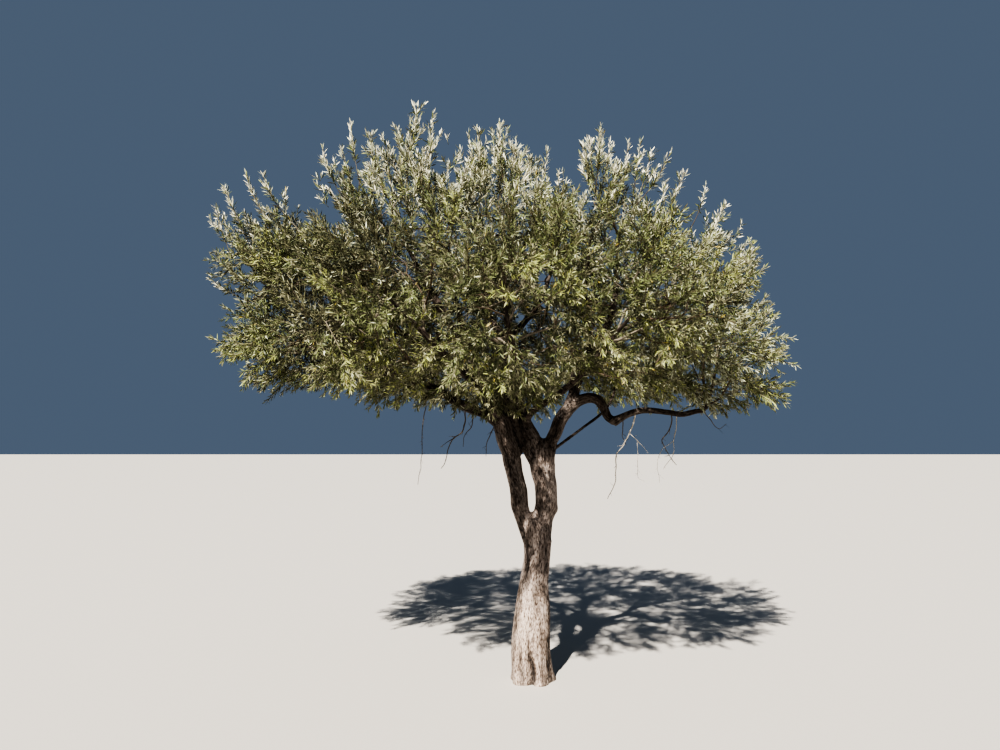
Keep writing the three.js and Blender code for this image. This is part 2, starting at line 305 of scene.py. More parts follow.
# %% Tubes
def tubes(paths, radii, sides, reference=None):
    """Points and faces of closed tubes. paths is (tube, station, 3) and radii is (tube, station),
    or (tube, station, side) for a profile that isn't round. A point is path + radius ·
    (cos turn · normal + sin turn · binormal)."""
    count, stations = paths.shape[:2]
    _, normal, binormal = frames_along(paths, reference)
    out = turned(2 * np.pi * np.arange(sides) / sides, normal[:, :, None], binormal[:, :, None])
    radii = radii[..., None] if radii.ndim == 2 else radii
    points = paths[:, :, None] + out * radii[..., None]
    ring = np.arange(sides)
    after = (ring + 1) % sides
    first = np.arange(count)[:, None] * stations * sides
    start = (first + np.arange(stations - 1) * sides).reshape(-1, 1)
    wall = np.stack([start + ring, start + after, start + sides + after, start + sides + ring], -1)
    last = first + (stations - 1) * sides
    return points.reshape(-1, 3), [wall.reshape(-1, 4), first + ring[::-1], last + ring]


def joined(parts):
    """Several (points, faces) pairs as one pair"""
    points, faces, offset = [], [], 0
    for part_points, part_faces in parts:
        points.append(part_points)
        faces += [group + offset for group in part_faces]
        offset += len(part_points)
    return np.vstack(points), faces


print("a straight tube:", len(tubes(straight, np.ones((1, 4)), 6)[0]), "points")

# %% [markdown]
# ## The wood's measurements
# The trunk leans and narrows to a waist at three quarters of a metre, then spreads sideways into
# its fork. Each stem has measured stations. Each bough starts in the heart of the limb that carries
# it, passes a few points and enters one foliage mass; only the arching limb hands on to another
# bough. All in metres, and the same as in the model but for the trunk's top, which ends a little
# lower here and lets the stems take over.

# %% Trunk and stems
TRUNK_LEVELS = [  # height, lean to the right, width, depth
    (-0.04, 0.002, 0.29, 0.28), (0, 0, 0.288, 0.278), (0.06, -0.004, 0.27, 0.262),
    (0.19, -0.011, 0.257, 0.25), (0.32, -0.006, 0.25, 0.242), (0.45, 0.003, 0.234, 0.228),
    (0.58, 0.009, 0.201, 0.2), (0.645, 0.014, 0.184, 0.186), (0.71, 0.023, 0.178, 0.18),
    (0.775, 0.032, 0.171, 0.173), (0.875, 0.035, 0.18, 0.168), (0.97, 0.028, 0.202, 0.157),
    (1.02, 0.02, 0.228, 0.142), (1.05, 0.016, 0.23, 0.11), (1.065, 0.014, 0.16, 0.06)]
STEM_STATIONS = {  # x, y, z, radius
    "stem_left": [
        (0, 0, 0.86, 0.044), (-0.038, 0, 0.98, 0.054), (-0.072, -0.006, 1.1, 0.057),
        (-0.092, -0.016, 1.233, 0.056), (-0.121, -0.028, 1.365, 0.057),
        (-0.148, -0.038, 1.498, 0.058), (-0.191, -0.05, 1.624, 0.058),
        (-0.226, -0.06, 1.715, 0.053)],
    "stem_right": [
        (0.055, 0, 0.86, 0.058), (0.07, 0, 0.98, 0.07), (0.086, 0.002, 1.1, 0.073),
        (0.087, 0.004, 1.233, 0.074), (0.08, 0.008, 1.365, 0.084), (0.072, 0.01, 1.45, 0.087),
        (0.07, 0.01, 1.51, 0.068), (0.072, 0.01, 1.55, 0.035)],
    "stem_middle": [
        (0.076, 0.008, 1.33, 0.05), (0.046, 0.01, 1.43, 0.07), (0.014, 0.018, 1.5, 0.074),
        (-0.004, 0.024, 1.556, 0.068), (-0.036, 0.042, 1.626, 0.058), (-0.062, 0.062, 1.7, 0.052),
        (-0.086, 0.086, 1.772, 0.05), (-0.104, 0.11, 1.85, 0.046)],
    "stem_outer": [
        (0.082, 0.008, 1.33, 0.048), (0.1, 0.004, 1.43, 0.056), (0.116, 0.003, 1.5, 0.05),
        (0.13, 0.002, 1.556, 0.045), (0.161, 0, 1.628, 0.045), (0.19, 0, 1.698, 0.045),
        (0.236, 0, 1.764, 0.044), (0.27, 0, 1.818, 0.041)]}
print(len(TRUNK_LEVELS), "levels of the trunk and", len(STEM_STATIONS), "stems")

# %% Boughs
# what carries it, how far up that, the points it passes, the mass it enters, radius at both ends
BOUGHS = {
    "bough_top_right": ("stem_outer", 0.96, [
        (0.285, 0.005, 1.885), (0.3, 0.01, 2.007), (0.361, 0.015, 2.109), (0.443, 0.01, 2.237),
        (0.531, 0.005, 2.372)], "top_right", 0.033, 0.017),
    "bough_arch": ("stem_outer", 0.94, [
        (0.323, -0.01, 1.828), (0.388, -0.03, 1.845), (0.439, -0.045, 1.829),
        (0.474, -0.06, 1.776), (0.5, -0.08, 1.716), (0.532, -0.1, 1.686)], None, 0.038, 0.027),
    "bough_right_low": ("bough_arch", 1, [
        (0.576, -0.1, 1.706), (0.641, -0.105, 1.738), (0.706, -0.11, 1.758),
        (0.792, -0.11, 1.758), (0.883, -0.11, 1.746), (0.988, -0.11, 1.732),
        (1.067, -0.108, 1.751), (1.133, -0.1, 1.774)], "right_low", 0.024, 0.011),
    "shoot_right": ("stem_right", 0.84, [
        (0.19, 0.02, 1.532), (0.35, 0.07, 1.648), (0.5, 0.12, 1.76), (0.59, 0.25, 1.9)],
        "back_right", 0.011, 0.008),
    "bough_left_low": ("stem_left", 0.95, [
        (-0.311, -0.07, 1.738), (-0.41, -0.09, 1.772), (-0.505, -0.11, 1.816),
        (-0.605, -0.13, 1.878), (-0.9, -0.15, 2)], "left_low", 0.034, 0.014),
    "bough_top_left": ("stem_left", 0.98, [
        (-0.29, -0.062, 1.87), (-0.39, -0.05, 2.11), (-0.61, -0.02, 2.44)],
        "top_left", 0.038, 0.017),
    "bough_left_top": ("bough_top_left", 0.18, [
        (-0.58, 0.06, 2.1), (-1.03, 0.07, 2.39)], "left_top", 0.027, 0.013),
    "bough_front_left": ("stem_left", 0.96, [
        (-0.3, -0.2, 1.85), (-0.48, -0.46, 2.02)], "front_left", 0.029, 0.015),
    "bough_top_front_left": ("bough_top_left", 0.34, [
        (-0.48, -0.3, 2.39)], "top_front_left", 0.022, 0.013),
    "bough_top_mid": ("stem_middle", 0.98, [
        (-0.112, 0.09, 2.02), (-0.15, 0.04, 2.32)], "top_mid", 0.037, 0.018),
    "bough_front_mid": ("stem_middle", 0.9, [
        (-0.1, -0.11, 1.9), (-0.13, -0.42, 2.06)], "front_mid", 0.028, 0.015),
    "bough_back_left": ("stem_middle", 0.84, [
        (-0.29, 0.24, 1.93), (-0.56, 0.47, 2.12)], "back_left", 0.03, 0.015),
    "bough_back_mid": ("stem_middle", 0.93, [
        (-0.1, 0.29, 1.99), (-0.13, 0.58, 2.19)], "back_mid", 0.03, 0.015),
    "bough_top_back_left": ("bough_top_mid", 0.25, [
        (-0.33, 0.33, 2.52)], "top_back_left", 0.024, 0.013),
    "bough_top_back_right": ("bough_top_mid", 0.34, [
        (0.06, 0.38, 2.54)], "top_back_right", 0.023, 0.013),
    "bough_top_front_right": ("bough_top_right", 0.34, [
        (0.33, -0.26, 2.38)], "top_front_right", 0.02, 0.012),
    "bough_front_right": ("stem_middle", 0.66, [
        (0, -0.06, 1.753), (0.081, -0.16, 1.808), (0.227, -0.35, 1.911)],
        "front_right", 0.026, 0.014),
    "bough_back_right": ("bough_top_right", 0.08, [
        (0.36, 0.2, 2.01), (0.5, 0.48, 2.16)], "back_right", 0.027, 0.014),
    "bough_right_shoulder": ("bough_top_right", 0.42, [
        (0.72, 0.06, 2.36)], "right_shoulder", 0.021, 0.012)}
print(len(BOUGHS), "boughs")

# %% Hearts of the masses
HEARTS = {
    "left_top": (-1.64, 0.01, 2.77), "left_low": (-1.54, -0.14, 2.19),
    "top_left": (-0.94, 0, 3.06), "top_mid": (-0.19, -0.04, 3.06), "top_right": (0.6, 0, 2.97),
    "right_shoulder": (1.12, 0.03, 2.73), "right_low": (1.25, -0.04, 2.13),
    "front_left": (-0.86, -0.9, 2.39), "front_mid": (-0.19, -1.13, 2.33),
    "front_right": (0.62, -0.88, 2.37), "back_left": (-1.02, 0.93, 2.43),
    "back_mid": (-0.18, 1.2, 2.44), "back_right": (0.7, 0.94, 2.37),
    "top_back_left": (-0.64, 0.69, 3.06), "top_back_right": (0.24, 0.73, 3),
    "top_front_left": (-0.64, -0.64, 2.88), "top_front_right": (0.33, -0.64, 2.78)}
print(len(HEARTS), "masses")

# %% [markdown]
# ## The routes of the limbs
# A limb is a curve with four columns: three for its place and one for its radius. Where it leaves
# what carries it the real limb swells into a collar, and between the measured points wood is never
# quite straight, so each route gets a small seeded wander.

# %% Limb routes
COLLAR, COLLAR_FADES = 0.45, 1.6  # how much thicker a limb's foot is, and over how many radii
HEART_TAPER, TAPER_FROM = 0.45, 0.6  # what is left of it in the heart of its mass, and from where
WANDER, WANDER_LENGTH, FREE_FROM = 0.22, 0.11, 0.1  # a share of the radius, and metres
SWELLING, SWELLING_LENGTH = 0.07, 0.07
WANDER_OFF, SWELLING_OFF = 0.37, 0.61  # how far from its corners a lattice is read

routes = {name: course(stations) for name, stations in STEM_STATIONS.items()}
into_mass = {}
for name, (carrier, share, through, mass, base, tip) in BOUGHS.items():
    carried_at = routes[carrier]
    foot = carried_at[int(round(share * (len(carried_at) - 1))), :3]
    path = course([foot, *through, *([HEARTS[mass]] if mass else [])])
    along = distance_along(path)
    share = along / along[-1]
    radius = (base + (tip - base) * share) * (1 + COLLAR * np.exp(-along / (COLLAR_FADES * base)))
    if mass:
        radius *= 1 - (1 - HEART_TAPER) * rise(share, TAPER_FROM, 1 - TAPER_FROM)
        into_mass[mass] = name
    routes[name] = np.column_stack([path, radius])

for number, route in enumerate(routes.values()):
    along = distance_along(route)
    free = rise(along, 0, FREE_FROM)  # the foot stays in the heart of its carrier
    for axis in range(3):
        sway = noise_at(*(v + WANDER_OFF for v in (along / WANDER_LENGTH, number, axis)), seed=3)
        route[:, axis] += WANDER * free * route[:, 3] * sway
    swell = noise_at(*(v + SWELLING_OFF for v in (along / SWELLING_LENGTH, number, 0)), seed=4)
    route[:, 3] *= 1 + SWELLING * swell

trunk_route = course(TRUNK_LEVELS)
print("longest limb", max(round(distance_along(r)[-1], 2) for r in routes.values()), "m")

# %% [markdown]
# ## How far each mass reaches
# Every foliage mass of the model is a star shape: seen from its heart, each corner lies in its own
# direction. So the mass can be asked how far it reaches in any direction, by blending the corners
# that lie nearest that way. A point's share is its distance from the heart over that reach, and is
# below one inside.

# %% Shapes of the masses
BLEND_SHARPNESS = 70  # larger follows single corners of the mass more closely


def vectors_of(collection, field):
    """One vector for each member of a mesh's collection, as an array"""
    values = np.empty(len(collection) * 3, np.float32)
    collection.foreach_get(field, values)
    return values.reshape(-1, 3).astype(float)


mass_shapes = {}
for mass, heart in HEARTS.items():
    corners = vectors_of(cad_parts["foliage_" + mass].data.vertices, "co")
    arms = np.unique(corners.round(5), axis=0) - heart
    far = np.linalg.norm(arms, axis=1)
    mass_shapes[mass] = (np.array(heart), arms / far[:, None], far)


def share_of(mass, points):
    """Distance from the mass's heart over its reach that way: the reach is the mean of its
    corners' distances, weighted by e^(sharpness · (cos angle - 1))"""
    heart, directions, far = mass_shapes[mass]
    arms = points - heart
    weight = np.exp(BLEND_SHARPNESS * (unit(arms) @ directions.T - 1))
    reach = (weight @ far) / np.maximum(weight.sum(1), 1e-12)
    return np.linalg.norm(arms, axis=1) / reach


outer_part = {}  # how many stations of a bough lie before its mass
for mass, name in into_mass.items():
    inside = share_of(mass, routes[name][:, :3]) < 1
    outer_part[name] = int(np.argmax(inside)) if inside.any() else len(inside)
print("stations before the leaves begin:", outer_part)

# %% [markdown]
# ## One skin over trunk and limbs
# A real fork has no seam: the bark runs from the trunk over the collar onto the limb. Tubes alone
# would cut through each other, so they are joined, remeshed into one even skin and smoothed a
# little, and only then is the bark's relief pressed into it. Two short webs of wood fill the
# narrow forks, as they are filled in the photograph.

# %% Kinds of tube for the skin
TRUNK_SIDES, LIMB_SIDES = 48, 20
ROOT_LOBES, LOBE_TURN, LOBE_DEPTH, LOBE_FADES = 5, 0.9, 0.1, 0.1
END_DOME = 0.8  # height of a rounded end, as a share of its radius
DOME_TURNS = np.linspace(0.25, 1.45, 6)[:, None]  # radians
FLAT_FROM, FLAT_FULL, FLATNESS = 1.25, 1.44, 0.8


def trunk_tube():
    """The trunk as a tube: an ellipse of the level's depth and width, in its polar form
    a·b / √((b cos)² + (a sin)²), swollen into root lobes that fade by e^(-height/fade)"""
    height, lean, width, depth = trunk_route.T
    turn = 2 * np.pi * np.arange(TRUNK_SIDES) / TRUNK_SIDES
    a, b = depth[:, None] / 2, width[:, None] / 2
    radius = a * b / np.sqrt((b * np.cos(turn)) ** 2 + (a * np.sin(turn)) ** 2)
    fade = np.exp(-np.maximum(height, 0)[:, None] / LOBE_FADES)
    radius *= 1 + LOBE_DEPTH * (np.cos(ROOT_LOBES * turn + LOBE_TURN) * fade)
    path = np.column_stack([lean, height * 0, height])
    return tubes(path[None], radius[None], TRUNK_SIDES)


def domed_tube(route):
    """A limb's tube with its end rounded off: past the end the radius falls as the cosine of an
    angle whose sine carries the path forward"""
    radius = route[-1, 3]
    ahead = unit(route[-1, :3] - route[-3, :3])
    dome = route[-1, :3] + END_DOME * radius * np.sin(DOME_TURNS) * ahead
    route = np.vstack([route, np.hstack([dome, radius * np.cos(DOME_TURNS)])])
    return tubes(route[None, :, :3], route[None, :, 3], LIMB_SIDES)


def flatten(points, route):
    """Make a stem thinner from front to back where it widens into its fork:
    y → middle + (y - middle) · flatness"""
    share = rise(points[:, 2], FLAT_FROM, FLAT_FULL - FLAT_FROM)
    middle = np.interp(points[:, 2], route[:, 2], route[:, 1])
    points[:, 1] = middle + (points[:, 1] - middle) * (1 - (1 - FLATNESS) * share)


print("the trunk alone has", len(trunk_tube()[0]), "points")

# %% All tubes of the skin
SKINNED = 0.2  # how much of a hidden bough is part of the skin
IN_FULL_VIEW = ("bough_arch", "bough_right_low", "bough_left_low", "shoot_right")
PAST_FACE = 10  # stations that a bough runs on into its mass
FORK_WEBS = [  # x, y, z, radius
    [(0.008, 0, 0.94, 0.07), (0.004, 0, 1.02, 0.055), (0.001, 0, 1.065, 0.03), (0, 0, 1.09, 0.008)],
    [(-0.078, -0.012, 1.46, 0.008), (-0.077, -0.01, 1.51, 0.026), (-0.09, -0.005, 1.56, 0.037),
     (-0.113, 0, 1.625, 0.042), (-0.14, 0.005, 1.7, 0.047), (-0.165, 0, 1.78, 0.044),
     (-0.2, 0, 1.86, 0.03)]]


def skin_stations(name):
    """How many stations of a limb are part of the joined skin"""
    end = outer_part.get(name, len(routes[name])) + PAST_FACE
    if name in BOUGHS and name not in IN_FULL_VIEW:
        carrier = BOUGHS[name][0]
        buried = routes[carrier][:, 3].mean()
        end = 0 if carrier in BOUGHS else min(end, int((SKINNED + buried) / LIMB_SPACING))
    return min(end, len(routes[name]))


webs = [course(stations) for stations in FORK_WEBS]
skinned = {name: route[: skin_stations(name)] for name, route in routes.items()}
skinned = {name: route for name, route in skinned.items() if len(route)}
parts = [trunk_tube()]
parts += [tubes(web[None, :, :3], web[None, :, 3], LIMB_SIDES) for web in webs]
limb_tubes = {name: domed_tube(route) for name, route in skinned.items()}
flatten(limb_tubes["stem_right"][0], routes["stem_right"])
parts += limb_tubes.values()
print(len(parts), "tubes for the skin")

# %% The joined skin
VOXEL = 0.0066
SMOOTH_ROUNDS, SMOOTH_SHARE = 4, 0.5

cage = mesh_piece("cage", *joined(parts), [])
remesh = cage.modifiers.new("one skin", "REMESH")
remesh.mode, remesh.voxel_size = "VOXEL", VOXEL
smooth = cage.modifiers.new("soft creases", "SMOOTH")
smooth.iterations, smooth.factor = SMOOTH_ROUNDS, SMOOTH_SHARE
bpy.context.view_layer.update()
skin = bpy.data.meshes.new_from_object(cage.evaluated_get(bpy.context.evaluated_depsgraph_get()))
bpy.data.objects.remove(cage)
print("skin has", len(skin.vertices), "points and", len(skin.polygons), "faces")

# %% [markdown]
# ## Where on its limb each point of the skin is
# Bark is stretched along the wood it grows on, so its pattern has to be drawn in the limb's own
# measures: how far up the limb a point lies, and at what turn round it. For every point of the skin
# the nearest station of the nearest limb is looked up, where near means distance over radius.


# %% Limb measures of the skin
EVERY = 3  # stations
BOX_ROOM = 0.15  # metres round a limb in which points are tried
BLUR_ROUNDS = 70  # so that no limb's colour starts at a line


def turned_to(route):
    """The fixed direction from which the turn round a whole limb is measured"""
    whole = unit(route[-1, :3] - route[0, :3])
    return unit(np.cross(whole, [1, 0, 0] if abs(whole[2]) > NEARLY_UPRIGHT else [0, 0, 1]))


def measured_on(route, points, reference):
    """Each point's distance over radius from the nearest station of a limb, and its place on the
    limb: twice across it, along it, and the radius there"""
    stations = route[::EVERY]
    axes = [v[0, ::EVERY] for v in frames_along(route[None, :, :3], reference[None])]
    gaps = points[:, None] - stations[:, :3]
    score = np.linalg.norm(gaps, axis=2) / stations[:, 3]
    best = score.argmin(1)
    rows = np.arange(len(points))
    ahead, side, over = ((gaps[rows, best] * axis[best]).sum(1) for axis in axes)
    radius = stations[best, 3]
    round_it = unit(np.stack([side, over], 1)) * radius[:, None]
    along = distance_along(route)[::EVERY][best] + ahead
    return score[rows, best], np.column_stack([round_it, along, radius])


def blurred(values, mesh, rounds):
    """Each point's value, averaged again and again with its neighbours' along the edges"""
    ends = np.empty(len(mesh.edges) * 2, np.int32)
    mesh.edges.foreach_get("vertices", ends)
    a, b = ends.reshape(-1, 2).T
    neighbours = np.maximum(np.bincount(ends, minlength=len(values)), 1)
    for _ in range(rounds):
        total = np.bincount(a, values[b], len(values)) + np.bincount(b, values[a], len(values))
        values = (values + total / neighbours) / 2
    return values


print("points are measured from stations", round(EVERY * LIMB_SPACING, 3), "m apart")

# %% Place of every point
height, lean, width, depth = trunk_route.T
trunk_as_limb = np.column_stack([lean, lean * 0, height, (width + depth) / 2 / 2])
all_limbs = {"trunk": trunk_as_limb, "web": webs[1], **skinned}
skin_points = vectors_of(skin.vertices, "co")
skin_normals = vectors_of(skin.vertex_normals, "vector")
nearness = np.full(len(skin_points), np.inf)  # distance over radius
place = np.zeros((len(skin_points), 4))  # across, across, along, radius
for name, route in all_limbs.items():
    low, high = route[:, :3].min(0) - BOX_ROOM, route[:, :3].max(0) + BOX_ROOM
    near = np.flatnonzero(((skin_points > low) & (skin_points < high)).all(1))
    score, found = measured_on(route, skin_points[near], turned_to(routes.get(name, route)))
    closer = score < nearness[near]
    place[near[closer]] = found[closer]
    nearness[near[closer]] = score[closer]
girth = blurred(place[:, 3], skin, BLUR_ROUNDS)
print("median distance over radius", np.median(nearness).round(3))

# %% [markdown]
# ## The relief of the bark
# Olive bark is grey and close: shallow furrows run up the limb, part and meet again round narrow
# plates, over wood that is fluted like muscle. A furrow lies where lattice noise crosses zero,
# because those places form an unbroken net; stretching the noise along the limb makes the plates
# long. Broad noise adds the fluting, and the foot gets the one deep cleft that the photograph has.

# %% Height of the bark
PLATE_WIDTH, PLATE_LENGTH = 0.018, 0.06
FINE_WIDTH, FINE_LENGTH = 0.55 * PLATE_WIDTH, 0.5 * PLATE_LENGTH
FURROW_WIDTH, FURROW_DEPTH = 0.16, 0.55  # in values of the noise, and of the bark's height
FINE_FURROW_WIDTH, FINE_FURROW_DEPTH = 0.2, 0.22
FLUTE_WIDTH, FLUTE_LENGTH, FLUTE_HEIGHT = 0.055, 0.38, 0.75
DRIFT, DRIFT_WIDTH, DRIFT_LENGTH = 0.35, 0.05, 0.12  # furrows aren't straight
DRIFT_SPREADS, DRIFT_MOVES = 0.25, 0.01  # a share, and metres
SEED_OFFSET = 7.3  # moves the lattices of the noises apart
RELIEF_SHARE, LEAST_RELIEF, MOST_RELIEF = 0.042, 0.0006, 0.0055  # of the radius, and metres


def bark_height(across, along):
    """-1 in a furrow to 1 on a flute: broad noise minus e^(-(n/width)²) round the zeros of fine
    noise n, with the noise read at (across/width, along/length)"""
    def read(width, length, seed):
        places = np.column_stack([across / width, along / length])
        return noise(places + SEED_OFFSET * seed, seed)

    drift = DRIFT * read(DRIFT_WIDTH, DRIFT_LENGTH, 5)[:, None]
    across = across * (1 + DRIFT_SPREADS * drift) + drift * DRIFT_MOVES
    wide = np.exp(-(read(PLATE_WIDTH, PLATE_LENGTH, 1) / FURROW_WIDTH) ** 2)
    narrow = np.exp(-(read(FINE_WIDTH, FINE_LENGTH, 2) / FINE_FURROW_WIDTH) ** 2)
    flutes = read(FLUTE_WIDTH, FLUTE_LENGTH, 3)
    return FLUTE_HEIGHT * flutes - FURROW_DEPTH * wide - FINE_FURROW_DEPTH * narrow


def relief_depth(radius):
    """How far the bark's height reaches out, in metres: deeper on thicker wood"""
    return np.clip(RELIEF_SHARE * radius, LEAST_RELIEF, MOST_RELIEF)


relief = bark_height(place[:, :2], place[:, 2])
print("the bark's height runs from", relief.min().round(2), "to", relief.max().round(2))

# %% Bark relief
KNOBS = [  # where an old cut has healed: x, y, z, width, height
    (0.155, -0.02, 1.105, 0.03, 0.011), (0.125, -0.03, 0.905, 0.022, 0.008),
    (-0.02, -0.085, 1.02, 0.03, 0.008), (-0.06, -0.11, 0.42, 0.035, 0.008),
    (0.1, -0.07, 0.3, 0.03, 0.007), (-0.43, -0.12, 1.8, 0.035, 0.016),
    (0.03, -0.09, 1.36, 0.035, 0.012), (0.55, -0.12, 1.68, 0.022, 0.008)]
CLEFT_X, CLEFT_SWAY, CLEFT_BENDS = -0.012, 0.012, 22
CLEFT_WIDTH, CLEFT_TOP, CLEFT_DEPTH = 0.017, 0.26, 0.03
CLEFT_TAPER, CLEFT_PAINTED_SHADE = 0.7, 1.2

shift = relief_depth(place[:, 3]) * relief
for *middle, width, height in KNOBS:
    shift += height * np.exp(-(((skin_points - middle) ** 2).sum(1) / width**2))
x, y, z = skin_points.T
from_cleft = x - (CLEFT_X + CLEFT_SWAY * np.sin(z * CLEFT_BENDS))
cleft = np.exp(-((from_cleft / CLEFT_WIDTH) ** 2)) * (y < 0)
cleft *= np.clip(1 - z / CLEFT_TOP, 0, 1) ** CLEFT_TAPER
shift -= CLEFT_DEPTH * cleft
# painted shade: the cleft's colour is made darker than its depth alone, as if shade lay in it
relief -= CLEFT_PAINTED_SHADE * cleft
skin_points += skin_normals * shift[:, None]
skin.vertices.foreach_set("co", skin_points.astype(np.float32).ravel())
print("relief from", round(shift.min() * 1000, 1), "to", round(shift.max() * 1000, 1), "mm")

# %% [markdown]
# ## The flat cut at the ground
# The skin runs a few centimetres below the ground, so that one level cut gives a clean foot. The
# cut edge is filled with a face, which keeps the mesh closed. The bark's measures are kept on the
# points first, for its finish.


# %% Ground cut
def keep_on_points(mesh, **measures):
    """A number or a vector kept on each point of a mesh, under each of the given names"""
    for name, values in measures.items():
        kind, field = ("FLOAT_VECTOR", "vector") if values.ndim == 2 else ("FLOAT", "value")
        layer = mesh.attributes.new(name, kind, "POINT")
        layer.data.foreach_set(field, np.ascontiguousarray(values, np.float32).ravel())


keep_on_points(skin, bark_height=relief, bark_place=place[:, :3], girth=girth)
shell = bmesh.new()
shell.from_mesh(skin)
cut = bmesh.ops.bisect_plane(
    shell, geom=shell.verts[:] + shell.edges[:] + shell.faces[:],
    plane_co=(0, 0, 0), plane_no=(0, 0, -1), clear_outer=True)
rim = [e for e in cut["geom_cut"] if isinstance(e, bmesh.types.BMEdge)]
bmesh.ops.edgenet_fill(shell, edges=rim)
bmesh.ops.recalc_face_normals(shell, faces=shell.faces[:])
shell.to_mesh(skin)
shell.free()
skin.polygons.foreach_set("use_smooth", np.ones(len(skin.polygons), bool))
wood = in_scene("trunk_and_boughs", skin)
print("lowest point", min(v.co.z for v in skin.vertices))

# %% [markdown]
# ## The finish of the bark
# Bark is pale where weather bleaches the plates, and dark down in the furrows: partly the bark's
# own colour and partly painted shade in the furrows and in the cleft at the foot. The height that
# was pressed into the mesh is kept on it as an attribute, and drives the colour, so light and dark
# colours fall on the real relief. Three noises read the limb's own measures: fine streaks and dark
# dashes run up the wood, and patches shift the tone from place to place. Thin limbs are darker and
# a little bluer, partly from weathering, which bleaches the old trunk most, and partly as painted
# shade and sky light under the crown. The same streaks give a fine bump that is too small for the
# mesh.

# %% Colours of the bark
# painted shade: the darkest colours, down in the furrows, are partly the bark's own colour and
# partly shade painted into it
PLATE_COLOURS_WITH_PAINTED_FURROW_SHADE = (  # where on the way up from a furrow to a flute, and the colour there
    (0, (0.083, 0.07, 0.063)), (0.25, (0.285, 0.241, 0.211)),
    (0.48, (0.5, 0.429, 0.378)), (1, (0.615, 0.534, 0.472)))
WHITE = (1, 1, 1)
# what the colour is multiplied by: at some values of each noise, and at some radii of the limb
PATCHES = (0.34, (0.48, 0.455, 0.44)), (0.46, (0.84, 0.82, 0.8)), (0.56, WHITE)
STREAKS = (0.3, (0.5, 0.47, 0.45)), (0.5, (0.9, 0.89, 0.88)), (0.7, WHITE)
DASHES = (0.34, (0.22, 0.18, 0.16)), (0.47, (0.8, 0.77, 0.75)), (0.58, WHITE)
# thinner wood is darker and bluer: partly weathering, which bleaches the old trunk, and partly
# painted shade and sky light under the crown
WEATHERING_AND_PAINTED_SHADE = (
    (0.02, (0.225, 0.218, 0.212)), (0.058, (0.39, 0.39, 0.4)), (0.085, (0.83, 0.84, 0.88)),
    (0.12, WHITE))
LOWEST, HIGHEST = -1.1, 0.75  # the bark's height at both ends of the plate colours
GRAIN = (1, 1, 0.28)  # the noises' scale across the wood and along it
print("bark colours:", sum(map(len, (PLATE_COLOURS_WITH_PAINTED_FURROW_SHADE, PATCHES, STREAKS, DASHES, WEATHERING_AND_PAINTED_SHADE))), "stops")


# %% Nodes
def node(tree, kind, inputs=(), **settings):
    """A new node with its settings made, and its inputs set or linked"""
    made = tree.nodes.new(kind)
    for key, value in settings.items():
        setattr(made, key, value)
    for socket, value in dict(inputs).items():
        if isinstance(value, bpy.types.NodeSocket):
            tree.links.new(value, made.inputs[socket])
        else:
            made.inputs[socket].default_value = value
    return made


def ramp(tree, factor, stops):
    """The colour at a factor, from (position, colour) stops"""
    made = node(tree, "ShaderNodeValToRGB", {"Fac": factor})
    while len(made.color_ramp.elements) < len(stops):
        made.color_ramp.elements.new(0.5)
    for element, (position, colour) in zip(made.color_ramp.elements, stops):
        element.position = position
        element.color = (*colour, 1)
    return made.outputs["Color"]


def times(tree, a, b):
    """Two colours multiplied. The Mix node's colour sockets are numbers 6 and 7, and 2 comes out"""
    return node(tree, "ShaderNodeMix", {0: 1.0, 6: a, 7: b},
                data_type="RGBA", blend_type="MULTIPLY").outputs[2]


print("a finish is built with", *(tool.__name__ for tool in (node, ramp, times)))


# %% Bark finish
def bark_finish(name):
    """Furrow-to-plate colour from the height on the mesh, times streaks along the limb"""
    material = bpy.data.materials.new(name)
    material.use_nodes = True
    tree = material.node_tree

    def kept(label):
        return node(tree, "ShaderNodeAttribute", attribute_name=label).outputs

    def noise_of(**settings):
        return node(tree, "ShaderNodeTexNoise", {"Vector": along, **settings}).outputs["Fac"]

    along = node(tree, "ShaderNodeMapping", {
        "Vector": kept("bark_place")["Vector"], "Scale": GRAIN}).outputs["Vector"]
    streaks = noise_of(Scale=210, Detail=4, Roughness=0.65)
    dashes = noise_of(Scale=150, Detail=2, Distortion=0.3)
    patches = noise_of(Scale=26, Detail=3)
    level = node(tree, "ShaderNodeMapRange", {
        "Value": kept("bark_height")["Fac"], "From Min": LOWEST, "From Max": HIGHEST})
    colour = times(tree, ramp(tree, level.outputs["Result"], PLATE_COLOURS_WITH_PAINTED_FURROW_SHADE), ramp(tree, patches, PATCHES))
    fine = times(tree, ramp(tree, streaks, STREAKS), ramp(tree, dashes, DASHES))
    weathering_and_painted_shade = ramp(tree, kept("girth")["Fac"], WEATHERING_AND_PAINTED_SHADE)
    rough = node(tree, "ShaderNodeMapRange", {
        "Value": streaks, "From Min": 0.3, "From Max": 0.7, "To Min": 0.96, "To Max": 0.82})
    bump = node(tree, "ShaderNodeBump", {"Height": streaks, "Strength": 0.55, "Distance": 0.004})
    shader = tree.nodes["Principled BSDF"].inputs
    shader["Specular IOR Level"].default_value = 0.25
    tree.links.new(times(tree, times(tree, colour, fine), weathering_and_painted_shade), shader["Base Color"])
    tree.links.new(rough.outputs["Result"], shader["Roughness"])
    tree.links.new(bump.outputs["Normal"], shader["Normal"])
    return material


bark = bark_finish("bark")
wood.data.materials.append(bark)
print("bark laid on", wood.name)

# %% [markdown]
# ## The hidden boughs
# Inside the crown the boughs run on to the heart of their masses. There they are seen only through
# gaps, so they are swept tubes with fewer sides, but they carry the same bark: its height is worked
# out on the tube's own grid and pushes each point out or in.

# %% Boughs inside the crown
BOUGH_SIDES = 12
LAPPED = 4  # stations that a swept bough shares with the joined skin

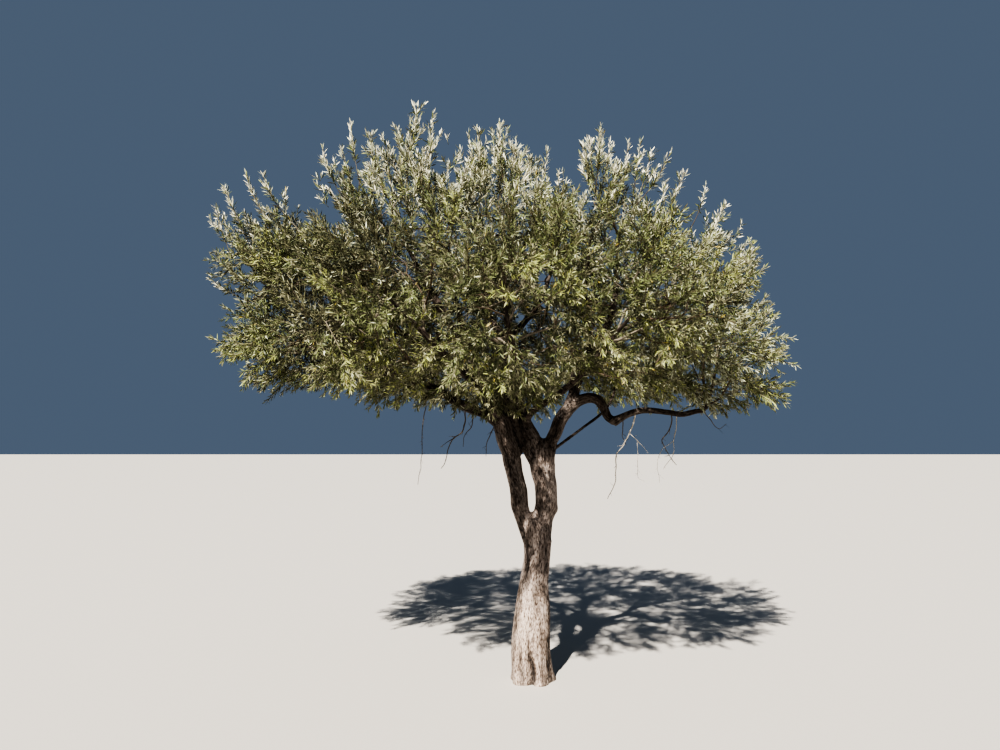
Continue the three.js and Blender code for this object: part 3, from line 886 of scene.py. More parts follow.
parts, heights, places, girths = [], [], [], []
for name in BOUGHS:
    start = max(0, len(skinned.get(name, ())) - LAPPED)
    route = routes[name][start::2]
    if len(route) < 4:
        continue
    radius = np.repeat(route[:, 3], BOUGH_SIDES)
    turn = np.tile(2 * np.pi * np.arange(BOUGH_SIDES) / BOUGH_SIDES, len(route))
    ring = np.column_stack([np.cos(turn) * radius, np.sin(turn) * radius])
    along = np.repeat(distance_along(routes[name])[start::2], BOUGH_SIDES)
    height = bark_height(ring, along)
    pressed = (radius + relief_depth(radius) * height).reshape(1, -1, BOUGH_SIDES)
    parts.append(tubes(route[None, :, :3], pressed, BOUGH_SIDES, turned_to(routes[name])[None]))
    heights.append(height)
    places.append(np.column_stack([ring, along]))
    girths.append(radius)
boughs = mesh_piece("boughs", *joined(parts), [bark])
keep_on_points(boughs.data, bark_height=np.concatenate(heights), bark_place=np.vstack(places),
               girth=np.concatenate(girths))
print("boughs:", len(boughs.data.polygons), "faces")

# %% [markdown]
# ## How deep in the crown a place is
# Leaves crowd near the light. To know how deep under the crown's outer face a place lies, space is
# cut into small cells, the cells inside any mass are marked, and the marked block is peeled layer
# by layer. The number of peelings a cell survives is its depth, and the way in which depth falls
# off fastest is the way out to the light.

# %% Cells of the crown
CELL = 0.05
CROWN_LOW, CROWN_HIGH = np.array([-2.45, -2, 1.4]), np.array([2, 2.1, 4.1])

axes = [np.arange(low, high, CELL) for low, high in zip(CROWN_LOW, CROWN_HIGH)]
cells = np.stack(np.meshgrid(*axes, indexing="ij"), -1)
marked = np.zeros(cells.shape[:3], bool)
for mass, (heart, directions, far) in mass_shapes.items():
    box = tuple(slice(*np.searchsorted(axis, [h - far.max(), h + far.max()]))
                for axis, h in zip(axes, heart))
    tried = cells[box]
    marked[box] |= share_of(mass, tried.reshape(-1, 3)).reshape(tried.shape[:3]) < 1
print("crown cells", marked.sum(), "of", marked.size)


# %% Peeling
LAYERS = 11


def peeled(block):
    """The cells of a block whose six neighbours are all in it"""
    inner = block.copy()
    for axis in range(3):
        inner &= np.roll(block, 1, axis) & np.roll(block, -1, axis)
    return inner


def softened(field):
    """Each cell's mean with its two neighbours along each axis in turn, twice"""
    for axis in (0, 1, 2) * 2:
        field = (np.roll(field, 1, axis) + 2 * field + np.roll(field, -1, axis)) / 4
    return field


def depth_inside(block):
    """How many layers, in metres, can be peeled off a block before each cell goes"""
    depth = np.zeros(block.shape)
    for _ in range(LAYERS):
        depth += block * CELL
        block = peeled(block)
    return softened(depth)


depth_field = depth_inside(marked)
print("deepest", depth_field.max().round(2), "m")


# %% Between the cells
EDGE_GAIN = 1.2  # so that the outermost leaves count in full


def read_field(field, points):
    """A field's value between cells, weighted by nearness along each axis"""
    at = np.clip((points - CROWN_LOW) / CELL, 0, np.array(field.shape[:3]) - 1.001)
    base = at.astype(int)
    total = 0
    for corner, weight in cell_corners(at - base):
        value = field[tuple((base + corner).T)]
        total = total + value * (weight if value.ndim == 1 else weight[:, None])
    return total


def near_face(points, fading):
    """1 at the crown's outer face, falling to 0 inside it: gain - fading · depth"""
    return np.clip(EDGE_GAIN - fading * read_field(depth_field, points), 0, 1)


hearts = np.array(list(HEARTS.values()))
print("depth at the hearts of the masses:", read_field(depth_field, hearts).round(2).tolist())

# %% [markdown]
# ## A dome over the shoulders
# The masses give the outline that the photograph shows. Above their shoulders the crown is rounded
# in depth as well: a cell is added where the camera sees it inside the outline, no farther from the
# middle plane than a dome of that height is thick.

# %% Dome
DOME_FROM, DOME_SKIN = 2.6, 0.06
DOME_RADIUS, RIGHT_FROM, RIGHT_RADIUS = 0.9, 0.3, 0.54  # the right part is less round


def on_trunk_plane(points):
    """Where the lines of sight from the camera to some points cross the plane y = 0"""
    share = -EYE[1] / (points[..., 1] - EYE[1])
    return EYE[0] + (points[..., 0] - EYE[0]) * share, EYE[2] + (points[..., 2] - EYE[2]) * share


x, z = on_trunk_plane(cells)
section = read_field(depth_field, np.stack([x, 0 * x, z], -1).reshape(-1, 3)).reshape(x.shape)
section = np.maximum(section - DOME_SKIN, 0)
radius = np.where(cells[..., 0] < RIGHT_FROM, DOME_RADIUS, RIGHT_RADIUS)
under_dome = cells[..., 1] ** 2 < 2 * radius * section - section**2
marked |= (cells[..., 2] > DOME_FROM) & under_dome
depth_field = depth_inside(marked)
slope = np.stack(np.gradient(softened(depth_field), CELL), -1)
print("with the dome", marked.sum(), "cells, deepest", depth_field.max().round(2), "m")

# %% [markdown]
# ## Where the sprays end
# An olive carries its leaves in sprays: a thin drooping axis with pairs of side shoots. Some tips
# are not left to chance: the tufts that stand out of the crown's outline in the photograph, and the
# tips that hang in front of the fork and round it.

# %% Measured tips
TUFTS = np.array([  # x, y, z of the tips that stand out of the outline
    (-1.95, -0.03, 3.39), (-2.15, 0, 3.14), (-2.19, 0, 2.66), (-2.07, -0.06, 3.27),
    (-1.82, -0.05, 3.36), (-1.7, 0.05, 3.27), (-2.17, 0.05, 2.86), (-2.05, 0.1, 3.02),
    (-0.78, 0, 3.87), (-0.66, -0.1, 3.78), (-0.93, 0.1, 3.76), (-1.235, -0.02, 3.73),
    (-1.43, 0, 3.57), (-1.1, 0, 3.66), (-1.32, 0.1, 3.6), (-1.48, 0.1, 3.42),
    (-0.215, 0, 3.76), (-0.26, 0.08, 3.7), (-0.43, 0, 3.68), (-0.57, 0.1, 3.68),
    (-0.1, 0.05, 3.66), (0, 0.1, 3.56), (0.115, 0, 3.55), (-0.35, -0.2, 3.62), (0.48, 0, 3.73),
    (0.42, 0.1, 3.68), (0.36, 0, 3.62), (0.25, 0.1, 3.5), (0.56, 0.1, 3.66), (0.67, 0, 3.61),
    (0.75, -0.02, 3.61), (0.84, 0.05, 3.57), (0.96, 0, 3.54), (1.06, 0.05, 3.42),
    (1.195, 0, 3.31), (1.32, 0, 3.17), (1.45, 0, 3.05), (1.51, 0, 2.91), (1.54, 0, 2.78),
    (1.6, 0, 2.55), (1.67, 0, 2.33), (1.73, 0, 2.19), (1.75, 0, 2.07), (1.76, 0, 1.95),
    (1.72, 0, 1.84), (1.62, 0, 1.79), (-0.9, -1.54, 2.3), (-0.18, -1.76, 2.26),
    (0.7, -1.52, 2.33), (-1.5, 1.42, 2.56), (-0.2, 1.83, 2.6), (1.18, 1.42, 2.42),
    (-0.7, 0.9, 3.62), (-1.05, 0.8, 3.46), (0.26, 0.9, 3.54), (0.62, 0.82, 3.38),
    (-0.62, -0.74, 3.32), (-0.99, -0.74, 3.2), (0.48, -0.72, 3.19), (0.78, -0.7, 3.07)])
LOW_TIPS = [  # tips that hang in front of the fork and round it
    (0.14, -0.36, 1.8), (0.06, -0.34, 1.77), (-0.03, -0.38, 1.74), (-0.12, -0.33, 1.74),
    (-0.22, -0.36, 1.74), (-0.31, -0.3, 1.75), (-0.4, -0.34, 1.77), (-0.5, -0.28, 1.76),
    (0.02, -0.45, 1.86), (-0.1, -0.46, 1.84), (-0.24, -0.46, 1.86), (-0.38, -0.46, 1.85),
    (-0.62, -0.36, 1.78), (-0.74, -0.3, 1.79), (-0.88, -0.34, 1.8), (-1.02, -0.26, 1.8),
    (-0.55, 0.1, 1.82), (-0.7, 0.2, 1.83), (-0.42, 0.3, 1.8), (-0.28, 0.42, 1.8),
    (-0.1, 0.46, 1.79), (0.06, 0.42, 1.8), (0.22, 0.34, 1.86), (0.36, 0.3, 1.94),
    (0.16, 0.2, 1.93), (-0.02, 0.26, 1.88), (-0.88, 0.05, 1.85), (0.42, -0.3, 1.94),
    (0.56, -0.36, 1.93), (0.72, -0.3, 1.85), (0.86, -0.34, 1.83), (0.3, -0.42, 1.94),
    (0.5, 0.2, 1.93), (0.7, 0.26, 1.86), (0.9, 0.16, 1.83), (1.06, -0.24, 1.8),
    (1.2, -0.14, 1.76), (1.3, -0.04, 1.74), (1.24, 0.1, 1.79), (1.38, -0.16, 1.77),
    (0.78, -0.05, 1.83), (0.98, -0.02, 1.82)]
TUFT_DEPTHS, AT_MIDDLE = 0.34, 0.3  # how far from the middle plane tufts on it may be moved

rng = np.random.default_rng(20)
print(len(TUFTS), "tufts and", len(LOW_TIPS), "low tips")

# %% [markdown]
# ## The other tips
# The rest are scattered through the crown by trial: a random place is kept more readily near the
# light, and only if no kept tip is too near, closer together outside than deep inside. A few shaded
# hollows, into which the photograph looks, stay nearly empty in front, the top is kept clear round
# the tufts, and nothing hangs below the measured underside.

# %% Rules for the tips
TRIALS = 90000
OUTER_GAP, INNER_GAP = 0.15, 0.44  # least distance between tips, and what depth adds to it
LIGHT_DEPTH, LIGHT_REACH, SHADE_CHANCE, LEAST_DEPTH = 0.05, 0.2, 0.16, 0.035
LOBE_FROM, LOBE_GAP = -1.25, 0.76  # the lobe on the left is closer set
WINDOWS = (  # the hollows: x, z on the plane through the trunk, half width, half height
    (0.02, 2.25, 0.25, 0.27), (-1.52, 2.33, 0.19, 0.33), (-0.75, 2.76, 0.15, 0.1),
    (-0.7, 2.24, 0.1, 0.11), (0.54, 2.4, 0.13, 0.14), (-0.18, 2.38, 0.12, 0.1))
WINDOW_FRONT, WINDOW_KEEPS = 0.15, 0.2
ALONE_FROM, ALONE_SPAN = 2.7, 0.5  # height from which the tufts stand alone
TUFTS_ALONE = (  # how far they stand above the rest, at some places across
    (-2.3, -1.7, -1.45, -1.25, -1.05, 0, 0.25, 0.45, 1.1, 1.4),
    (0.06, 0.075, 0.09, 0.095, 0.035, 0.04, 0.09, 0.115, 0.12, 0.05))
UNDERSIDE = (  # how low tips may be, at some places across
    (-1.8, -1.55, -1.4, -1.1, -0.65, -0.45, 0.15, 0.28, 0.58, 0.72, 1.15, 1.3),
    (1.85, 1.92, 1.9, 1.86, 1.83, 1.8, 1.78, 1.94, 1.93, 1.84, 1.8, 1.74))


def inside_any(points, ellipses, slack=1.0):
    """Whether a point is seen inside any of the ellipses on the plane through the trunk"""
    x, z = on_trunk_plane(points)
    found = np.zeros(x.shape, bool)
    for mid_x, mid_z, half_x, half_z in ellipses:
        found |= ((x - mid_x) / (half_x * slack)) ** 2 + ((z - mid_z) / (half_z * slack)) ** 2 < 1
    return found


def in_window(points):
    """Whether a point lies in front of one of the shaded hollows"""
    return inside_any(points, WINDOWS) & (points[:, 1] < WINDOW_FRONT)


print(len(WINDOWS), "hollows, tips no closer than", OUTER_GAP, "m")

# %% Trials
trials = rng.uniform(CROWN_LOW, CROWN_HIGH, (TRIALS, 3))
deep = read_field(depth_field, trials)
chance = np.exp(-(((deep - LIGHT_DEPTH) / LIGHT_REACH) ** 2)) + SHADE_CHANCE
cleared = np.interp(trials[:, 0], *TUFTS_ALONE) * rise(trials[:, 2], ALONE_FROM, ALONE_SPAN)
wanted = (deep > LEAST_DEPTH + cleared) & (rng.random(TRIALS) < chance)
wanted &= trials[:, 2] > np.interp(trials[:, 0], *UNDERSIDE)
wanted &= ~in_window(trials) | (rng.random(TRIALS) < WINDOW_KEEPS)

tuft_y = TUFTS[:, 1:2]
moved = rng.uniform(-TUFT_DEPTHS, TUFT_DEPTHS, tuft_y.shape) * (np.abs(tuft_y) < AT_MIDDLE)
farther = 1 + moved / (tuft_y - EYE[1])
tips = [*(EYE + (TUFTS - EYE) * farther), *LOW_TIPS]
for tried, depth in zip(trials[wanted], deep[wanted]):
    gap = (OUTER_GAP + INNER_GAP * depth) * (LOBE_GAP if tried[0] < LOBE_FROM else 1)
    if (((np.array(tips) - tried) ** 2).sum(1) > gap * gap).all():
        tips.append(tried)
tips = np.array(tips)
count = len(tips)
is_tuft = np.arange(count) < len(TUFTS)
is_low = ~is_tuft & (np.arange(count) < len(TUFTS) + len(LOW_TIPS))
print(count, "sprays")

# %% [markdown]
# ## Which way a spray grows
# A shoot is pulled three ways: out of the crown, up to the light, and away from the trunk. High in
# the crown the pull up wins, and the tips stand like tufts; low down the sprays reach outwards and
# hang over by their own weight. The base of a spray lies back along that direction, and its axis is
# a cubic curve from base to tip.

# %% Spray axes
CROWN_HEART = np.array([-0.2, 0, 2.35])
LOWEST_TIP, TIP_SPAN = 1.75, 1.9
OUT_PULL, AWAY_PULL, UP_PULL, HIGH_PULL, HIGH_POWER = 0.75, 0.35, 0.1, 1.15, 1.5
UNDER_FLAT, UNDER_OUT, UNDER_DOWN, UNDER_GAIN = 0.8, 0.25, 0.1, 1.5  # on the underside
WAY_SPREAD, LOW_SPREAD, BASE_SPREAD = 0.3, 0.35, 0.25  # how uneven directions are
LOW_DOWN, TUFT_UP, BASE_AWAY = 0.55, 0.55, 0.45
END_UP, END_DOWN = 0.2, 0.3  # which way a spray's end turns, high up and low down
SHORTEST, LENGTH_SPREAD, TUFT_LONGER = 0.3, 0.14, 0.15
CHORD = 0.97  # from end to end of a bent shoot, as a share of its length
ABOVE_UNDERSIDE = 0.02  # least height of a spray's base

height_share = rise(tips[:, 2], LOWEST_TIP, TIP_SPAN)[:, None]
outward = -unit(read_field(slope, tips))
away = unit(tips - CROWN_HEART)
flat_away = unit(away * [1, 1, 0])
up = np.array([0, 0, 1.0])
under = np.clip(-outward[:, 2:3] * UNDER_GAIN, 0, 1)  # how far a tip is on the crown's underside

rising = UP_PULL + HIGH_PULL * height_share**HIGH_POWER
reach = OUT_PULL * outward + AWAY_PULL * away + rising * up
hang = UNDER_FLAT * flat_away + UNDER_OUT * outward - UNDER_DOWN * up
way_out = unit(reach * (1 - under) + hang * under + WAY_SPREAD * rng.normal(size=(count, 3)))
low_way = flat_away + LOW_SPREAD * rng.normal(size=(count, 3)) * [1, 1, 0]
low_way = unit(low_way) - LOW_DOWN * up
way_out[is_low] = unit(low_way)[is_low]
way_out[is_tuft] = unit(way_out[is_tuft] + TUFT_UP * height_share[is_tuft] * up)
way_in = unit(way_out + BASE_AWAY * away + BASE_SPREAD * rng.normal(size=(count, 3)))
way_end = unit(way_out + (END_UP * height_share - END_DOWN * (1 - height_share)) * up)

spray_length = (SHORTEST + LENGTH_SPREAD * rng.random(count)) * (1 + TUFT_LONGER * is_tuft)
bases = tips - unit(way_in + way_end) * spray_length[:, None] * CHORD
lowest = np.interp(bases[:, 0], *UNDERSIDE) + ABOVE_UNDERSIDE
bases[:, 2] = np.where(is_low, bases[:, 2], np.maximum(bases[:, 2], lowest))
print(count, "sprays, mean length", spray_length.mean().round(3), "m")


# %% Cubic curves
def cubic(start, leave, arrive, end, third):
    """The four handles of a cubic curve that leaves one end and arrives at the other along
    given directions: start, start + third · leave, end - third · arrive, end"""
    return np.stack([start, start + leave * third, end - arrive * third, end], -2)


def along_curves(curves, t):
    """Places and directions at the shares t of cubic curves given by four handles each:
    s³a + 3s²tb + 3st²c + t³d with s = 1 - t, and its slope"""
    a, b, c, d = (curves[:, None, i] for i in range(4))
    t = t[..., None]
    s = 1 - t
    points = s**3 * a + 3 * s * s * t * b + 3 * s * t * t * c + t**3 * d
    return points, unit(s * s * (b - a) + 2 * s * t * (c - b) + t * t * (d - c))


spray_curves = cubic(bases, way_in, way_end, tips, spray_length[:, None] / 3)
mass_of_spray = np.stack([share_of(mass, tips) for mass in HEARTS], 1).argmin(1)
sprays_in = np.bincount(mass_of_spray, minlength=len(HEARTS)).tolist()
print("sprays of each mass:", dict(zip(HEARTS, sprays_in)))

# %% [markdown]
# ## Limbs that fork on to every spray
# A tree doesn't send a separate limb to each spray: the limbs fork. Each mass starts with the end
# of its bough. Then its sprays are taken from the nearest to the farthest, and each is joined to
# the place on the wood grown so far that costs least, where cost is the new wood's length, plus a
# share of the way already come from the bough, plus a fine for turning back. The new piece leaves
# along the old wood's direction and arrives along the spray's, as a real fork does.

# %% Growing rule
STEP = 0.055  # metres of new wood between two stations
WAY_SHARE, TURN_FINE, SWAY_SHARE = 0.3, 0.55, 0.035
LEAST_AGREEMENT = 0.08  # of a spray's direction with the way to it
LEAST_LAP = 12  # stations of a bough that are inside its mass at least


def grow(mass, targets, arrivals):
    """Stations, parents, the station that each target got, and how many were the bough's. The new
    piece is the cubic that leaves along the parent's direction and arrives along the target's, with
    a seeded sway of sin(πt) across it."""
    bough = routes[into_mass[mass]]
    first = min(outer_part[into_mass[mass]], len(bough) - LEAST_LAP)
    stem = bough[first::4, :3]
    points, parents = list(stem), [-1, *range(len(stem) - 1)]
    ways = list(unit(np.gradient(stem, axis=0)))
    come = list(distance_along(stem))
    reached = np.zeros(len(targets), int)
    for i in np.argsort(np.linalg.norm(targets - stem[0], axis=1)):
        gap = targets[i] - np.array(points)
        length = np.linalg.norm(gap, axis=1)
        turn = 1 - (gap * np.array(ways)).sum(1) / np.maximum(length, 1e-6)
        cost = length * (1 + TURN_FINE * turn**2) + WAY_SHARE * np.array(come)
        parent = int(cost.argmin())
        far, ahead = length[parent], gap[parent] / length[parent]
        leave = unit(ways[parent] + ahead)
        agree = np.clip(arrivals[i] @ gap[parent] / far, LEAST_AGREEMENT, 1)
        curve = np.array([points[parent], points[parent] + leave * far / 3,
                          targets[i] - arrivals[i] * agree * far / 3, targets[i]])
        t = np.linspace(0, 1, max(2, int(np.ceil(far / STEP))) + 1)[1:]
        path, path_ways = along_curves(curve[None], t[None])
        path = path[0] + np.sin(np.pi * t)[:, None] * (rng.normal(size=3) * SWAY_SHARE * far)
        for point, way in zip(path, path_ways[0]):
            parents.append(parent)
            come.append(come[parent] + np.linalg.norm(point - points[parent]))
            parent = len(points)
            points.append(point)
            ways.append(way)
        reached[i] = parent
    return np.array(points), np.array(parents), reached, len(stem)


print("a new station every", STEP, "m")

# %% New wood
new_wood = {}
for number, mass in enumerate(HEARTS):
    mine = mass_of_spray == number
    new_wood[mass] = grow(mass, bases[mine], way_in[mine])
print("stations of new wood:", sum(len(points) for points, *_ in new_wood.values()))

# %% [markdown]
# ## Thickness from what a limb feeds
# A limb is as thick as the number of sprays it feeds calls for. The count runs down the tree from
# the sprays, and the radius is the twig's radius times the count raised to a power, chosen so that
# the limb has the bough's own radius where it starts. Chains of stations that always follow the
# busiest fork become one tube each.

# %% Chains
TWIG_RADIUS = 0.003
LEAST_POWER, MOST_POWER, LEAST_LOAD = 0.3, 0.5, 8
FOOT_SWELL = 1.25  # how much thicker a chain may start than it goes on


def chains_of(bough_radius, points, parents, reached, given):
    """Chains of stations from each fork to an end, with a radius for each station:
    twig radius · load^power"""
    load = np.zeros(len(points))
    load[reached] += 1
    for i in range(len(points) - 1, 0, -1):
        load[parents[i]] += load[i]
    load = np.maximum(load, 1)
    power = np.log(bough_radius / TWIG_RADIUS) / np.log(max(load[given - 1], LEAST_LOAD))
    radius = TWIG_RADIUS * load ** np.clip(power, LEAST_POWER, MOST_POWER)
    main = np.full(len(points), -1)  # the busiest station that grows on from each
    for i in range(1, len(points)):
        rival = main[parents[i]]
        if rival < 0 or load[i] > load[rival]:
            main[parents[i]] = i
    chains = []
    for i in range(given, len(points)):
        if main[parents[i]] == i and parents[i] >= given:
            continue
        chain = [parents[i], i]
        while main[chain[-1]] >= 0:
            chain.append(main[chain[-1]])
        r = radius[chain]
        r[0] = min(r[0], r[1] * FOOT_SWELL)
        chains.append(np.column_stack([points[chain], r]))
    return chains


print("thinnest limb", TWIG_RADIUS * 1000, "mm in radius")

# %% Limbs into tubes
TUBE_STATIONS, TUBE_SIDES = (5, 9, 16, 28), (5, 5, 6, 6)  # for chains from short to long
GREY_SHARE = 0.45
TWIGS = [
    plain_finish("twig_brown", (0.095, 0.072, 0.05), 0.8, 0.3),
    plain_finish("twig_grey", (0.19, 0.165, 0.13), 0.8, 0.3),
    plain_finish("shoot_young", (0.19, 0.185, 0.105), 0.7, 0.3)]


def tube_tones(tones, stations, sides):
    """The tone of each tube, repeated for its side faces and its two ends"""
    return [np.repeat(tones, (stations - 1) * sides), tones, tones]


limbs = {}  # points, faces, finishes and the finish of each face
for mass in HEARTS:
    chains = chains_of(routes[into_mass[mass]][-1, 3] / HEART_TAPER, *new_wood[mass])
    kinds = np.searchsorted(TUBE_STATIONS[:-1], [len(chain) for chain in chains])
    parts, tones = [], []
    for kind, (stations, sides) in enumerate(zip(TUBE_STATIONS, TUBE_SIDES)):
        batch = np.array([redrawn(smooth_curve(chain, 6), stations)
                          for chain, its_kind in zip(chains, kinds) if its_kind == kind])
        if len(batch):
            parts.append(tubes(batch[..., :3], batch[..., 3], sides))
            dealt = (rng.random(len(batch)) < GREY_SHARE).astype(int)
            tones += tube_tones(dealt, stations, sides)
    limbs[mass] = (*joined(parts), TWIGS, np.concatenate(tones))
print("faces of new wood:", sum(len(tones) for *_, tones in limbs.values()))

# %% [markdown]
# ## Side shoots in crossed pairs
# Everything on an olive comes in pairs, and each pair stands at right angles to the last. Along a
# spray's axis that gives pairs of side shoots, longest near the base; along each shoot it gives
# pairs of leaves. All sprays are worked out at once, as arrays with one row for a spray, one column
# for a pair and two for its arms.

# %% Shoots
PAIR_SHARES = np.array([0.14, 0.3, 0.45, 0.6, 0.74, 0.87])
SHOOT_ANGLE, TUFT_ANGLE = radians(47), radians(27)
SHOOTS_KEPT, TUFT_SHOOTS_KEPT = 0.82, 0.5
TOP_SHOOTS, TOP_FROM = 0.5, 0.4  # the upper shoots of a tuft are shorter
BARE_SHARE, BARE_FOOT = 0.3, 0.018  # where leaves begin, on an axis and on a side shoot
BOTH_ARMS = [0, np.pi]
PAIR_SPREAD, TURN_SPREAD, ANGLE_SPREAD = 0.04, 0.25, 0.24
STRAIGHTENED, PULLED, TIP_TURN = 0.45, 0.45, 0.3  # how a shoot bends on from its foot
FIRST_LENGTH, SHORTER_ON, UNEVEN = 0.6, 0.34, (0.45, 1.25)  # shares of the spray's length

pairs = len(PAIR_SHARES)
t = PAIR_SHARES + rng.uniform(-PAIR_SPREAD, PAIR_SPREAD, (count, pairs))
points, ways = (v[:, :, None] for v in along_curves(spray_curves, t))
side, over = square_to(ways, unit(rng.normal(size=(count, 1, 3)))[:, :, None])
turn = rng.uniform(0, np.pi, (count, 1)) + np.arange(pairs) * np.pi / 2
turn = turn[..., None] + BOTH_ARMS + rng.normal(0, TURN_SPREAD, (count, pairs, 2))
of_tuft = is_tuft[:, None, None]
angle = np.where(of_tuft, TUFT_ANGLE, SHOOT_ANGLE) + rng.normal(0, ANGLE_SPREAD, turn.shape)
start = turned(angle, ways, turned(turn, side, over))
pull = way_out + (TIP_TURN * height_share - TIP_TURN * (1 - height_share)) * up
end = unit(start + STRAIGHTENED * ways + PULLED * pull[:, None, None])
length = spray_length[:, None, None] * (FIRST_LENGTH - SHORTER_ON * t[..., None])
length = length * rng.uniform(*UNEVEN, turn.shape)
length = np.where(of_tuft & (t[..., None] > TOP_FROM), TOP_SHOOTS, 1) * length
foot = np.broadcast_to(points, start.shape)
head = foot + unit(start + end) * length[..., None] * CHORD
side_curves = cubic(foot, start, end, head, length[..., None] / 3)
kept = rng.random(turn.shape) < np.where(of_tuft, TUFT_SHOOTS_KEPT, SHOOTS_KEPT)
spray_of_side = np.broadcast_to(np.arange(count)[:, None, None], turn.shape)
print(int(kept.sum()), "side shoots")

# %% All shoots in one list
curves = np.concatenate([spray_curves, side_curves[kept]])
lengths = np.concatenate([spray_length, length[kept]])
spray_of = np.concatenate([np.arange(count), spray_of_side[kept]])
first_leaf = np.concatenate([spray_length * BARE_SHARE, np.full(kept.sum(), BARE_FOOT)])
is_axis = np.arange(len(curves)) < count
print(len(curves), "shoots, the axes among them, mean length", lengths.mean().round(3), "m")

# %% [markdown]
# ## The gaps where sky shows
# The photograph shows the sky through the crown in a few small places, and leaves the limb that
# arches over on the right free. Shoots that cross the line of sight to one of these are left out,
# as if the twig had never grown there.

# %% Sky gaps
GAPS = (  # x, z on the plane through the trunk, half width, half height
    (0.1, 2.65, 0.07, 0.03), (0.54, 2.97, 0.03, 0.03), (0.34, 1.83, 0.11, 0.06),
    (-1.36, 3.1, 0.05, 0.045), (-1.2, 3.32, 0.035, 0.03), (-1.93, 2.72, 0.04, 0.03),
    (-1.84, 2.6, 0.03, 0.035), (-0.54, 3.36, 0.03, 0.035), (-0.6, 3.56, 0.035, 0.07),
    (0.28, 3.4, 0.06, 0.07), (1.02, 3.2, 0.04, 0.05), (1.33, 2.8, 0.04, 0.04))
PROBES = np.linspace(0.2, 1, 5)  # the shares of a shoot that are tried

probed, _ = along_curves(curves, np.broadcast_to(PROBES, (len(curves), len(PROBES))))
clear = ~inside_any(probed, GAPS).any(1)
curves, lengths, spray_of, first_leaf, is_axis = (
    v[clear] for v in (curves, lengths, spray_of, first_leaf, is_axis))
print(int((~clear).sum()), "shoots left out for the sky")

# %% Twigs of the shoots
AXIS_STATIONS, AXIS_END, AXIS_SIDES = 6, 0.0012, 4
SHOOT_STATIONS, SHOOT_RADIUS, SHOOT_END, SHOOT_SIDES = 3, 0.0018, 0.001, 3
WOODY = 0.98  # how much of a shoot's length is wood
YOUNG = 2  # the finish of side shoots; the axes take the two before it in turn

shoots = {}
for number, mass in enumerate(HEARTS):
    parts, tones = [], []
    for chosen, stations, thick, thin, sides in (
            (is_axis, AXIS_STATIONS, TWIG_RADIUS, AXIS_END, AXIS_SIDES),
            (~is_axis, SHOOT_STATIONS, SHOOT_RADIUS, SHOOT_END, SHOOT_SIDES)):
        mine = chosen & (mass_of_spray[spray_of] == number)
        shares = np.broadcast_to(np.linspace(0, WOODY, stations), (mine.sum(), stations))
        path, _ = along_curves(curves[mine], shares)
        parts.append(tubes(path, thick + (thin - thick) * shares, sides))
        dealt = np.where(is_axis[mine], spray_of[mine] % 2, YOUNG)
        tones += tube_tones(dealt, stations, sides)
    shoots[mass] = (*joined(parts), TWIGS, np.concatenate(tones))
print("faces of shoots:", sum(len(tones) for *_, tones in shoots.values()))

# %% [markdown]
# ## One leaf
# An olive leaf is a slender blade, here about four centimetres long and a fifth as wide, green and
# waxy above, silver with down beneath, its edges rolled a little under. Six points are enough: the
# two ends and two on each edge. Two faces meet in a ridge along the midrib, so that one half
# catches the light and the other doesn't.

# %% Leaf shape
BLADE = np.array([  # along, across, raised: shares of the leaf's length, width and width
    (0, 0, 0), (0.3, -0.47, -0.15), (0.66, -0.42, -0.15),
    (1, 0, 0), (0.66, 0.42, -0.15), (0.3, 0.47, -0.15)])
HALVES = np.array([(0, 1, 2, 3), (0, 3, 4, 5)])
LEAF_FILL = 0.68  # the blade's area over its length times its width
print("one leaf:", len(BLADE), "points,", 2 * len(HALVES), "triangles")

# %% [markdown]
# ## Leaves on every shoot
# Pairs of leaves follow one another along a shoot about every centimetre, each pair turned by a
# quarter. Near the tip they are smaller and closer to the shoot. A leaf's upper face first looks
# towards the shoot's tip, then its stalk twists it to the light, so the low sprays show green and
# the upright tufts at the top show the silver undersides.

# %% Leaf stations
LEAF_GAP = 0.0095
BASE_ANGLE, TIP_ANGLE = radians(56), radians(22)
OFF_TWIG = 0.0015
LAST_LEAF, FOOT_LIMITS = 0.985, (0.02, 0.995)  # shares of a shoot
FOOT_SPREAD, STALK_SPREAD = 0.012, 0.55

most = int(np.ceil(lengths.max() / LEAF_GAP)) + 1
step = first_leaf[:, None] + np.arange(most) * LEAF_GAP
there = step < lengths[:, None] * LAST_LEAF
shoot, pair = np.nonzero(there)
t = (step / lengths[:, None])[there] + rng.normal(0, FOOT_SPREAD, there.sum())
t = np.clip(t, *FOOT_LIMITS)
point, way = (v[:, 0] for v in along_curves(curves[shoot], t[:, None]))
side, over = square_to(way, unit(rng.normal(size=(len(curves), 3)))[shoot])

shoot, pair, t, point, way, side, over = (
    np.repeat(v, 2, axis=0) for v in (shoot, pair, t, point, way, side, over))
number = len(shoot)
turn = rng.uniform(0, np.pi, len(curves))[shoot] + pair * np.pi / 2
turn = turn + np.tile(BOTH_ARMS, number // 2) + rng.normal(0, STALK_SPREAD, number)
out = turned(turn, side, over)
foot = point + out * OFF_TWIG
spray = spray_of[shoot]
on_tuft = is_tuft[spray]
print(number, "places for a leaf")

